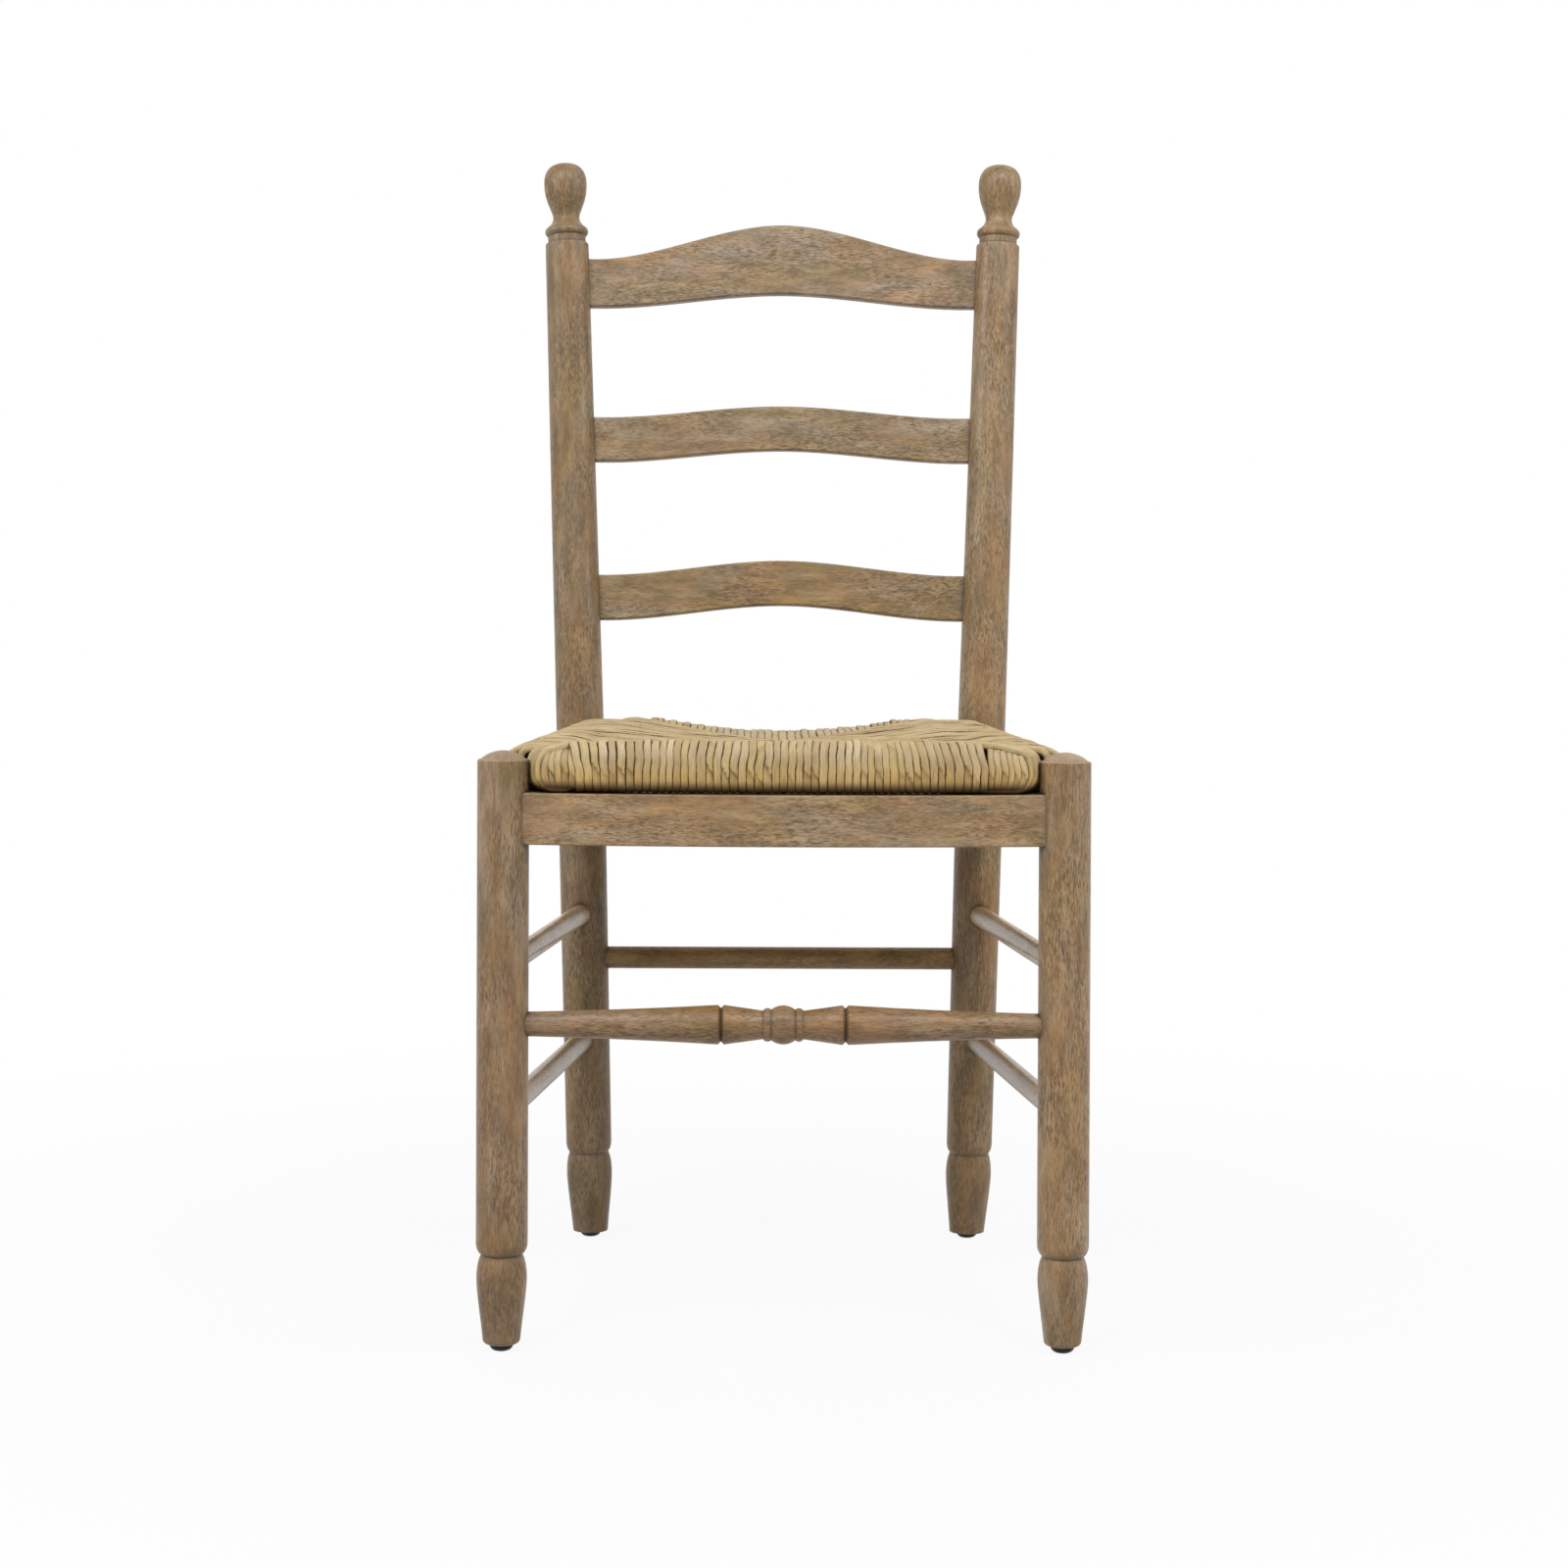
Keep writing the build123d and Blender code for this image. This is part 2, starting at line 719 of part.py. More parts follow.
with BuildPart() as right_seat_rail:
    add(frame_blank("side", 0))
    with BuildSketch(Plane.XY.offset(lap_height)):
        with Locations((0, front_rail_back + glue_gap)):
            Rectangle(2 * half_seat, half_seat, align=(Align.CENTER, Align.MAX))
        with Locations((0, back_rail_front - glue_gap)):
            Rectangle(2 * half_seat, half_seat, align=(Align.CENTER, Align.MIN))
    extrude(amount=-rail_height, mode=Mode.SUBTRACT)
    add(screw(True, screw_gap, 0), mode=Mode.SUBTRACT)
    add(screw(False, screw_gap, 0), mode=Mode.SUBTRACT)

with BuildPart() as left_seat_rail:
    mirror(right_seat_rail.part, about=Plane.YZ)

# Rush seat: a rounded, slightly dished pad with the frame inside it
with BuildPart() as rush_seat:
    with BuildSketch(Plane.XY.offset(seat_base)):
        with BuildLine():
            seat_lines(0)
        make_face()
    extrude(amount=seat_height)
    fillet(edges().filter_by(Axis.Z), notch_round)
    fillet(faces().sort_by(Axis.Z)[-1].edges(), seat_edge_round)
    fillet(faces().sort_by(Axis.Z)[0].edges(), seat_edge_round)
    dish_radius = bow_radius(dish_span / 2, dish_depth)
    dish_y = back_y + dish_overrun - dish_span / 2
    with Locations((0, dish_y, seat_base + seat_height - dish_depth + dish_radius)):
        Sphere(dish_radius, mode=Mode.SUBTRACT)
    for rail in ("front", "back", "side"):
        add(frame_blank(rail, seat_gap), mode=Mode.SUBTRACT)
    add(mirror(frame_blank("side", seat_gap), about=Plane.YZ, mode=Mode.PRIVATE), mode=Mode.SUBTRACT)
    for place in (True, False):
        add(screw(place, screw_gap, 0), mode=Mode.SUBTRACT)
        add(mirror(screw(place, screw_gap, 0), about=Plane.YZ, mode=Mode.PRIVATE), mode=Mode.SUBTRACT)

# Glue blocks in the corners of the aprons
front_block_start = hypot(1, 1) * (leg_r + block_clear)
back_block_start = hypot(1, 1) * (post_r + block_clear)


def front_mid(x):
    """Point on the middle line of the bowed front board."""
    return (x, front_centre_y - (front_radius**2 - x**2) ** 0.5)


def side_mid(distance):
    """Point on the middle line of the right side board."""
    spot = side_start + side_dir * distance
    return (spot.X, spot.Y)


with BuildPart() as right_front_block:
    with BuildSketch(Plane.XY.offset(block_base)):
        with BuildLine():
            Polyline(
                front_mid(leg_x - front_block_start),
                front_mid(leg_x - front_block_start - block_leg),
                side_mid(front_block_start + block_leg),
                side_mid(front_block_start),
                close=True,
            )
        make_face()
    extrude(amount=block_height)
    add(front_board(glue_gap), mode=Mode.SUBTRACT)
    add(side_board(glue_gap), mode=Mode.SUBTRACT)
    add(screw(True, screw_gap, 2 * screw_recess), mode=Mode.SUBTRACT)

with BuildPart() as right_back_block:
    with BuildSketch(Plane.XY.offset(block_base)):
        with BuildLine():
            Polyline(
                (post_x - back_block_start, back_y),
                (post_x - back_block_start - block_leg, back_y),
                side_mid(side_length - back_block_start - block_leg),
                side_mid(side_length - back_block_start),
                close=True,
            )
        make_face()
    extrude(amount=block_height)
    add(back_board(glue_gap), mode=Mode.SUBTRACT)
    add(side_board(glue_gap), mode=Mode.SUBTRACT)
    add(screw(False, screw_gap, 2 * screw_recess), mode=Mode.SUBTRACT)

with BuildPart() as left_front_block:
    mirror(right_front_block.part, about=Plane.YZ)

with BuildPart() as left_back_block:
    mirror(right_back_block.part, about=Plane.YZ)

# Seat screws, one in each block
with BuildPart() as seat_screws:
    add(screw(True, 0, 0))
    add(screw(False, 0, 0))
    mirror(about=Plane.YZ)


def glide_lines():
    """Half outline of a domed glide with a small flat underside."""
    top = glide_height - glue_gap
    Polyline((glide_dia / 2, top), (0, top), (0, 0), (glide_foot_dia / 2, 0))
    RadiusArc((glide_foot_dia / 2, 0), (glide_dia / 2, top), -glide_height)


# Floor glides and their nails
with BuildPart() as right_front_glide:
    with BuildSketch(glide_axis(False)):
        with BuildLine():
            glide_lines()
        make_face()
    revolve(axis=Axis(glide_axis(False).origin, (0, 0, 1)))
    add(nail(False, glue_gap), mode=Mode.SUBTRACT)

with BuildPart() as right_back_glide:
    with BuildSketch(glide_axis(True)):
        with BuildLine():
            glide_lines()
        make_face()
    revolve(axis=Axis(glide_axis(True).origin, (0, 0, 1)))
    add(nail(True, glue_gap), mode=Mode.SUBTRACT)

with BuildPart() as left_front_glide:
    mirror(right_front_glide.part, about=Plane.YZ)

with BuildPart() as left_back_glide:
    mirror(right_back_glide.part, about=Plane.YZ)

with BuildPart() as glide_nails:
    add(nail(False, 0))
    add(nail(True, 0))
    mirror(about=Plane.YZ)

# Labels and files
left_front_leg.part.label = "left_front_leg"
export_step(left_front_leg.part, "parts/left_front_leg.step")
right_front_leg.part.label = "right_front_leg"
export_step(right_front_leg.part, "parts/right_front_leg.step")
left_back_post.part.label = "left_back_post"
export_step(left_back_post.part, "parts/left_back_post.step")
right_back_post.part.label = "right_back_post"
export_step(right_back_post.part, "parts/right_back_post.step")
top_slat.part.label = "top_slat"
export_step(top_slat.part, "parts/top_slat.step")
middle_slat.part.label = "middle_slat"
export_step(middle_slat.part, "parts/middle_slat.step")
bottom_slat.part.label = "bottom_slat"
export_step(bottom_slat.part, "parts/bottom_slat.step")
front_apron.part.label = "front_apron"
export_step(front_apron.part, "parts/front_apron.step")
back_apron.part.label = "back_apron"
export_step(back_apron.part, "parts/back_apron.step")
left_apron.part.label = "left_apron"
export_step(left_apron.part, "parts/left_apron.step")
right_apron.part.label = "right_apron"
export_step(right_apron.part, "parts/right_apron.step")
front_stretcher.part.label = "front_stretcher"
export_step(front_stretcher.part, "parts/front_stretcher.step")
back_stretcher.part.label = "back_stretcher"
export_step(back_stretcher.part, "parts/back_stretcher.step")
left_upper_stretcher.part.label = "left_upper_stretcher"
export_step(left_upper_stretcher.part, "parts/left_upper_stretcher.step")
left_lower_stretcher.part.label = "left_lower_stretcher"
export_step(left_lower_stretcher.part, "parts/left_lower_stretcher.step")
right_upper_stretcher.part.label = "right_upper_stretcher"
export_step(right_upper_stretcher.part, "parts/right_upper_stretcher.step")
right_lower_stretcher.part.label = "right_lower_stretcher"
export_step(right_lower_stretcher.part, "parts/right_lower_stretcher.step")
front_seat_rail.part.label = "front_seat_rail"
export_step(front_seat_rail.part, "parts/front_seat_rail.step")
back_seat_rail.part.label = "back_seat_rail"
export_step(back_seat_rail.part, "parts/back_seat_rail.step")
left_seat_rail.part.label = "left_seat_rail"
export_step(left_seat_rail.part, "parts/left_seat_rail.step")
right_seat_rail.part.label = "right_seat_rail"
export_step(right_seat_rail.part, "parts/right_seat_rail.step")
rush_seat.part.label = "rush_seat"
export_step(rush_seat.part, "parts/rush_seat.step")
left_front_block.part.label = "left_front_block"
export_step(left_front_block.part, "parts/left_front_block.step")
right_front_block.part.label = "right_front_block"
export_step(right_front_block.part, "parts/right_front_block.step")
left_back_block.part.label = "left_back_block"
export_step(left_back_block.part, "parts/left_back_block.step")
right_back_block.part.label = "right_back_block"
export_step(right_back_block.part, "parts/right_back_block.step")
seat_screws.part.label = "seat_screws"
export_step(seat_screws.part, "parts/seat_screws.step")
left_front_glide.part.label = "left_front_glide"
export_step(left_front_glide.part, "parts/left_front_glide.step")
right_front_glide.part.label = "right_front_glide"
export_step(right_front_glide.part, "parts/right_front_glide.step")
left_back_glide.part.label = "left_back_glide"
export_step(left_back_glide.part, "parts/left_back_glide.step")
right_back_glide.part.label = "right_back_glide"
export_step(right_back_glide.part, "parts/right_back_glide.step")
glide_nails.part.label = "glide_nails"
export_step(glide_nails.part, "parts/glide_nails.step")
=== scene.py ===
import json
import math

import bpy
import numpy as np
from mathutils import Matrix, Vector


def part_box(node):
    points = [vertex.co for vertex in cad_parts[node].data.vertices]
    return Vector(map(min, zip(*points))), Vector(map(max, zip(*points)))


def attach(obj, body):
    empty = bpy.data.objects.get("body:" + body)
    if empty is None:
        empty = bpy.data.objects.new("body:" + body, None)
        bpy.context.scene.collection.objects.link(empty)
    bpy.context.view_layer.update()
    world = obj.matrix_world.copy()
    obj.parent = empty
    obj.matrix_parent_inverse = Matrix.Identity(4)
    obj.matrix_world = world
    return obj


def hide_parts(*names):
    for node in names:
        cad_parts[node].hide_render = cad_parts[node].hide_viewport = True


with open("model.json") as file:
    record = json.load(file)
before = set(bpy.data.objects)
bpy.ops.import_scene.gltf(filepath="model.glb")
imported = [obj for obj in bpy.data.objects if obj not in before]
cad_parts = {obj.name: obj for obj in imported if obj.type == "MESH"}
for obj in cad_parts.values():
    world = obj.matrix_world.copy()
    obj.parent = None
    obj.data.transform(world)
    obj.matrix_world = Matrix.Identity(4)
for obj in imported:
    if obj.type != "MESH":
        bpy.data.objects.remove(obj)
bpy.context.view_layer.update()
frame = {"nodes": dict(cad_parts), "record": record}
nodes = frame["nodes"]
scene = bpy.context.scene

# Places in the frame, metres
leg_low, leg_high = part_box("left_front_leg")
seat_low, seat_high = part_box("rush_seat")
LEG_Y = (leg_low.y + leg_high.y) / 2
MM = 1000

# Camera of a square photograph whose optical axis lies off its centre: pixels, then metres and degrees
FRAME_PX = 1600.0
FOCAL_PX = 2964.0
AXIS_PX = (776.0, 639.0)
SENSOR_MM = 36.0
CAMERA_BACK = 2.237
CAMERA_X = -0.0188
CAMERA_Z = 0.5796
CAMERA_PITCH = 0.52
CAMERA_ROLL = 0.235

# Rush seat, millimetres: X across, D behind the axis of the front legs, Z above the floor
SEAT_TOP = seat_high.z * MM
SEAT_BASE = seat_low.z * MM
FRONT_D = (seat_low.y - LEG_Y) * MM
BACK_D = (seat_high.y - LEG_Y) * MM
FRONT_RADIUS = 1487.0
FRONT_HALF = 187.0
FRONT_FILL_HALF = {-1: 160.0, 1: 155.5}
BACK_HALF = 157.0
BACK_FILL_HALF = 117.0
SIDE_X = 224.5
SIDE_TAPER = 0.0906
POST_NOTCH_X = 158.0
POST_NOTCH_D = 367.0
FRONT_SEAM_D = -12.0
BACK_SEAM_D = 388.0
SIDE_FIRST_D = -12.5
SIDE_LAST_D = 398.0
MIDDLE_GAP = 1.0

# Notch of the seat round a front leg
ARCH_X = 190.5
ARCH_RUN = 12.0
LEG_NOTCH_X = 195.8
LEG_NOTCH_D = 22.0
LEG_ROUND = 21.0
LEG_ROUND_D = 14.0
LEG_BEHIND = 12.0

# Heights of the woven surface above the seat's rim, and where the ends of the back rise
FRONT_RIM = 0.7
SIDE_FRONT_RIM = -5.0
SIDE_BACK_RIM = 2.0
BACK_MIDDLE = -8.5
MIDDLE = -13.0
FILL_TOP = -8.5
FILL_RISE = 5.0
BACK_FILL_DROP = 5.0
BACK_END_RISE = 2.0
BACK_END_X = 60.0
BACK_END_RUN = 50.0

# Heights of the lowest strands above the seat's base
BASE_LIFT = 0.4
FILL_LIFT = 2.0
SIDE_BASE_LIFT = 0.3

# Form of the dish, in shares of the seat's depth and of its half width
DISH_V = (0.05, 0.42, 0.66, 0.97)
DISH = (FRONT_RIM, MIDDLE, MIDDLE, BACK_MIDDLE)
DISH_TURN_V = 0.7
FRONT_FLAT_U = 0.71
FRONT_FALL_U = 0.1
BACK_SIDE_U = 0.66
BACK_POWER = 1.8

# Strands
PITCH = 6.2
FILL_PITCH = 5.3
THICK = 5.0
ARCH_THICK = 5.8
SPREAD = 0.09
WIDTH_LIMITS = (0.75, 1.3)
OVERLAP = 0.3
SECTION_SIDES = 14
SECTION_POWER = 3.0
FINE_STEP = 1.8
COARSE_STEP = 5.0
FINE_PAST = 10.0
RUN_POINTS = 80
TURN_POINTS = 120

# How much of the painted shade at its joints a strand shows: 1 in full, less makes it narrower
END_JOINTS = 1.0
SIDE_JOINTS = 0.84
ARCH_JOINTS = 0.2

# Turn of the strands round the rails and their dive into the seams
ROLL_DEPTH = 15.0
ROLL_POWER = 2.6
SIDE_ROLL_DEPTH = 27.0
SIDE_ROLL_POWER = 2.0
SIDE_LOW_POWER = 5.0
ARCH_ROLL_DEPTH = 16.0
ARCH_ROLL_POWER = (2.2, 3.4)
FILL_BULGE = 6.0
FILL_BULGE_POWER = 1.5
DIVE = 6.0
DIVE_RUN = 7.0
ARCH_DIVE_RUN = 5.0
PAST_SEAM = 3.0
END_LAYERS = 4
LAYER_SINK = 0.2

# Unevenness of the strands: heights, wave lengths and shares
END_LIFT = 0.4
SIDE_LIFT = 0.35
SIDE_LIFT_LIMIT = 0.6
SIDE_WAVE = 0.4
SIDE_WAVE_LENGTH = 16.0
END_WANDER = 0.6
SIDE_WANDER = 0.8
WANDER_LENGTHS = (16, 28, 50, 95)
WANDER_STRETCH = (0.8, 1.2)
WANDER_ACROSS = (50, 120)
WANDER_SHARE = (0.5, 1.0)
SWELL = ((3.5, 0.04), (11.0, 0.04), (1.3, 0.03))
THICK_WAVE_LENGTH = 5.0
THICK_WAVE = 0.06

# Sideways lean of the front strands above the turn of the front roll, by place across the seat
LEAN_X = (-160, -128, -90, 0, 60, 96, 125, 162)
LEAN = (-6.5, -2.0, 2.0, 2.0, 0.0, -4.0, -6.5, -4.5)
LEAN_RUN = 24.0
LEAN_FADE_FROM = 40.0
LEAN_FADE_RUN = 60.0

# Creases: those at the turn of the front roll, and the others along a strand
FOLD_DEPTH = 0.9
FOLD_FADE = 5.0
TURN_FOLD_SHARE = 0.55
TURN_FOLD_PLACE = (-2.5, 2.0)
TURN_FOLD_SLOPE = (1.0, 1.7)
TURN_FOLD_DEPTH = (0.4, 1.0)
TURN_CLEAR = 14.0
FIRST_FOLD = (20, 120)
NEXT_FOLD = (40, 140)
FOLD_SLOPE = (0.8, 1.6)
OTHER_FOLD_DEPTH = (0.2, 0.7)

# Direction of the grain of the washed pieces
GRAIN = {
    "x": (
        "top_slat", "middle_slat", "bottom_slat", "front_apron", "back_apron", "front_stretcher",
        "back_stretcher",
    ),
    "y": (
        "left_apron", "right_apron", "left_upper_stretcher", "left_lower_stretcher", "right_upper_stretcher",
        "right_lower_stretcher",
    ),
    "z": ("left_front_leg", "right_front_leg", "left_back_post", "right_back_post"),
}

# Paler, greyer and darker pieces of wood; the upper side stretchers are paler with a painted reflection, and
# the lower side stretchers and the back stretcher darker and yellower with painted shade
PLAIN = (1.0, 1.0, 1.0)
UPPER_PAINTED_REFLECTION = (1.75, 1.7, 1.6)
LOWER_PAINTED_SHADE = (0.92, 0.84, 0.66)
TINT = {
    "front_apron": (1.16, 1.20, 1.28),
    "right_front_leg": (1.16, 1.16, 1.22),
    "left_front_leg": (0.98, 0.97, 1.02),
    "top_slat": (1.0, 1.07, 1.26),
    "middle_slat": (1.03, 1.09, 1.26),
    "bottom_slat": (0.95, 0.98, 0.98),
    "left_back_post": (0.86, 0.85, 0.84),
    # Painted shade: the back stretcher darker and yellower
    "back_stretcher": (0.92, 0.87, 0.68),
    "front_stretcher": (0.99, 0.91, 0.9),
    # Painted reflection: the upper side stretchers paler
    "left_upper_stretcher": UPPER_PAINTED_REFLECTION,
    "right_upper_stretcher": UPPER_PAINTED_REFLECTION,
    # Painted shade: the lower side stretchers darker and yellower
    "left_lower_stretcher": LOWER_PAINTED_SHADE,
    "right_lower_stretcher": LOWER_PAINTED_SHADE,
}

# Colours of the washed wood
TAN = (0.232, 0.141, 0.06)
DARK = (0.08, 0.045, 0.017)
# Painted shade and grime of crevices
GRIME_AND_PAINTED_SHADE = (0.05, 0.034, 0.02)
WASH = (0.28, 0.215, 0.14)
PALE = (0.36, 0.275, 0.18)
ORANGE = (0.262, 0.142, 0.056)
OLIVE = (0.198, 0.138, 0.05)

# Layers of its figure: scale per metre across the grain, stretch along it, shift, detail, roughness and
# distortion
PATCHES = (20, 2.5, 1.0, 3, 0.5, 0.6)
TINTS = (27, 2.5, 5.0, 3, 0.5, 0.8)
WASHES = (48, 4.5, 9.0, 4, 0.6, 0.5)
CLOUDS = (75, 3.0, 11.0, 3, 0.55, 0.4)
MOTTLE = (190, 6.5, 2.0, 4, 0.65, 0.6)
OPEN_GRAIN = (34, 2.2, 7.0, 2, 0.5, 0.0)
PORES = (950, 6.0, 3.0, 3, 0.65, 0.5)
SEED_STEP = 3.1
SEED_SLOPE = 1.7

# Strength of each layer by its value
PATCH_STOPS = ((0.44, 0.0), (0.64, 0.75))
TINT_STOPS = ((0.48, 0.0), (0.66, 0.7))
WASH_STOPS = ((0.44, 0.0), (0.70, 0.75))
CLOUD_STOPS = ((0.35, 0.80), (0.65, 1.25))
MOTTLE_STOPS = ((0.3, 0.70), (0.7, 1.24))
OPEN_STOPS = ((0.38, 0.4), (0.60, 1.0))
FLECK_STOPS = ((0.36, 0.9), (0.51, 0.0))
LIGHT_STOPS = ((0.52, 0.0), (0.66, 0.65))
NOOK_SHADE_AND_GRIME_STOPS = ((0.6, 0.92), (0.95, 0.0))
PORE_ROUGH_STOPS = ((0.35, 0.58), (0.6, 0.42))

# Painted shade and grime in crevices, painted shade towards the floor, paler up-facing tops from painted
# sheen and wear, and surface of the washed wood
NOOK_REACH = 0.006
NOOK_SAMPLES = 8
NEAR_FLOOR_SHADE_Z = (0.02, 0.11)
NEAR_FLOOR_SHADE = (0.22, 0.0)
SHEEN_AND_WEAR_FACING = (0.3, 0.8)
SHEEN_AND_WEAR = (0.0, 0.4)
WOOD_SPECULAR = 0.3
GLOSS = 0.2
SIDE_GLOSS = 0.8
GLOSS_ROUGH = 0.3
PORE_BUMP = {"Strength": 0.15, "Distance": 0.0004}

# Raw softwood, black plastic and plated steel
RAW_SCALE = (14, 90, 90)
RAW_DETAIL = 4
RAW_DISTORT = 0.6
RAW_STOPS = ((0.35, (0.42, 0.28, 0.15)), (0.65, (0.58, 0.43, 0.26)))
RAW_ROUGH = 0.75
PLASTIC_SCALE = 900
PLASTIC_DETAIL = 2
PLASTIC_STOPS = ((0.3, 0.006), (0.7, 0.016))
PLASTIC_ROUGH_STOPS = ((0.3, 0.35), (0.7, 0.55))
PLASTIC_SPECULAR = 0.2
STEEL_SCALE = 500
STEEL_DETAIL = 3
STEEL_STOPS = ((0.3, 0.42), (0.7, 0.6))
STEEL_ROUGH_STOPS = ((0.3, 0.28), (0.7, 0.45))

# Rush: tones of the strands, then stains, bleached stretches, fibres, the painted shadows of creases and the
# painted shade at the joints between strands
STRAW_STOPS = (
    (0.0, (0.41, 0.30, 0.155)), (0.18, (0.465, 0.355, 0.205)), (0.36, (0.47, 0.355, 0.165)),
    (0.52, (0.435, 0.325, 0.175)), (0.68, (0.38, 0.275, 0.145)), (0.84, (0.50, 0.385, 0.22)),
    (1.0, (0.45, 0.34, 0.185)),
)
STAIN = (0.35, 0.25, 0.115, 1)
BLEACHED = (0.56, 0.455, 0.285, 1)
CREASE_SHADOW = (0.14, 0.09, 0.03, 1)
JOINT_SHADE = (0.075, 0.046, 0.015, 1)
YELLOWING_AND_SHADE = (1.45, 1.23, 0.74, 1)
SHADING = (0.13, 0.09, 0.06, 1)
DRIFT_SCALE = (28, 0.4, 97)
DRIFT_DETAIL = 2
STAIN_STOPS = ((0.46, 0.0), (0.70, 0.55))
BLEACHED_STOPS = ((0.28, 0.5), (0.45, 0.0))
FIBRE_SCALE = (90, 30, 131)
FIBRE_DETAIL = 4
FIBRE_ROUGH = 0.65
FIBRE_STOPS = ((0.3, 0.70), (0.7, 1.16))
CREASE_SHADOW_STOPS = ((0.05, 0.0), (0.8, 0.9))
RAGGED_SCALE = (420, 3, 131)
RAGGED_DETAIL = 2
RAGGED = 0.07
STRAND_MIDDLE = 0.5
JOINT_SHADE_PLACE = (0.145, 0.185)
JOINT_SHADE_SHARE = (0.0, 0.97)
RUSH_ROUGH = 0.6
RUSH_SPECULAR = 0.3
FIBRE_BUMP = {"Strength": 0.4, "Distance": 0.0006}

# Yellower lower part of the rolls, by height, mostly painted shade and partly less bleached straw, and the
# painted shadow at their foot; the foot shadow ends inward along the strand
YELLOW_SHADE_Z = (0.440, 0.461)
YELLOW_SHADE_SHARE = (0.7, 0.0)
FOOT_Z = (0.4340, 0.4425)
FOOT_SHARE = (0.97, 0.0)
FOOT_ALONG = (-0.09, -0.06)
FOOT_REACH = (0.1, 1.0)

# Floor: nearly white near the feet, white farther away, metres
WHITE = (1, 1, 1, 1)
FLOOR_GREY = (0.5, 0.5, 0.5, 1)
FLOOR_ROUGH = 0.9
FLOOR_HALF = 30.0
FLOOR_CORNERS = ((-1, -1), (1, -1), (1, 1), (-1, 1))
FLOOR_REACH = (0.35, 1.5)
FLOOR_GLOW = (0.92, 1.0)

# Light: a room that is bright behind the chair and dimmer above and in front, and four soft lamps
ROOM_LEVEL = 0.24
BACK_LEVEL = 0.9
TOP_LEVEL = 0.38
BACK_SPAN = (-0.1, 0.7)
TOP_SPAN = (0.1, 0.8)
LAMP_SIZE = 1.0
LAMPS = (
    ("left_key", (-1.1, -1.9, 2.8), (0.0, 0.0, 0.45), 42),
    ("right_key", (1.1, -1.9, 2.8), (0.0, 0.0, 0.45), 44),
    ("left_side", (-2.2, -0.7, 1.7), (0.0, 0.0, 0.5), 19),
    ("right_side", (2.2, -0.7, 1.7), (0.0, 0.0, 0.5), 16),
)

SEED = 7
rng = np.random.default_rng(SEED)


def smooth(x):
    """Smooth step from 0 to 1."""
    x = np.clip(x, 0, 1)
    return x * x * (3 - 2 * x)


def side_edge(d):
    """Outer X of the right side of the seat."""
    return SIDE_X - SIDE_TAPER * d


def front_edge(x):
    """D of the bowed front of the seat."""
    return FRONT_D + x * x / (2 * FRONT_RADIUS)


def arch_edge(d, width):
    """Outer X of a strand that arches round the right front leg."""
    edge = ARCH_X + (LEG_NOTCH_X - ARCH_X) * smooth((d - SIDE_FIRST_D) / ARCH_RUN)
    if d < LEG_ROUND_D:
        return edge + LEG_ROUND - math.sqrt(LEG_ROUND**2 - max(d + width / 2, 0) ** 2)
    return edge + LEG_BEHIND


def top_height(x, d):
    """Height of the woven top: a firm front roll, raised back corners and a dished middle."""
    v = np.clip((d - FRONT_D) / (BACK_D - FRONT_D), 0, 1)
    u = np.abs(x) / side_edge(d)
    side = SIDE_FRONT_RIM + (SIDE_BACK_RIM - SIDE_FRONT_RIM) * v
    middle = np.interp(v, DISH_V, DISH)
    turn = smooth(v / DISH_TURN_V)
    front_share = smooth((u - FRONT_FLAT_U) / FRONT_FALL_U)
    back_share = np.clip(u / BACK_SIDE_U, 0, 1) ** BACK_POWER
    share = front_share + (back_share - front_share) * turn
    return SEAT_TOP + middle + (side - middle) * share


def wander(amount):
    """Smooth field of small sideways shifts over length along a strand and place across the strands."""
    waves = []
    for length in WANDER_LENGTHS:
        waves.append((
            2 * math.pi / length * rng.uniform(*WANDER_STRETCH),
            2 * math.pi / rng.uniform(*WANDER_ACROSS),
            rng.uniform(0, 2 * math.pi),
            rng.uniform(*WANDER_SHARE),
        ))

    def shift(along, across):
        return amount * sum(a * np.sin(k * along + m * across + p) for k, m, p, a in waves) / 2

    return shift


def leaning(x, along):
    """Sideways lean of a front strand at lengths above the turn of the roll."""
    rise = np.clip(along / LEAN_RUN, 0, 1)
    fall = 1 - smooth((along - LEAN_FADE_FROM) / LEAN_FADE_RUN)
    return np.interp(x, LEAN_X, LEAN) * rise * fall


def spread(start, end, pitch=PITCH):
    """Centres and widths of strands side by side between two limits."""
    count = round((end - start) / pitch)
    widths = np.clip(rng.normal(1, SPREAD, count), *WIDTH_LIMITS)
    widths *= (end - start) / widths.sum()
    return list(zip(start + np.cumsum(widths) - widths / 2, widths))


def creases(along, at_front):
    """Slanting folds of a strand: often one at the turn of the front roll, and a few elsewhere."""
    folds = []
    if at_front and rng.uniform() < TURN_FOLD_SHARE:
        place = rng.normal(*TURN_FOLD_PLACE)
        slope = rng.uniform(*TURN_FOLD_SLOPE)
        folds.append((place, slope, FOLD_DEPTH * rng.uniform(*TURN_FOLD_DEPTH)))
    place = along[0] + rng.uniform(*FIRST_FOLD)
    while place < along[-1]:
        if abs(place) > TURN_CLEAR or not at_front:
            slope = rng.uniform(*FOLD_SLOPE) * rng.choice((-1, 1))
            folds.append((place, slope, FOLD_DEPTH * rng.uniform(*OTHER_FOLD_DEPTH)))
        place += rng.uniform(*NEXT_FOLD)
    return folds


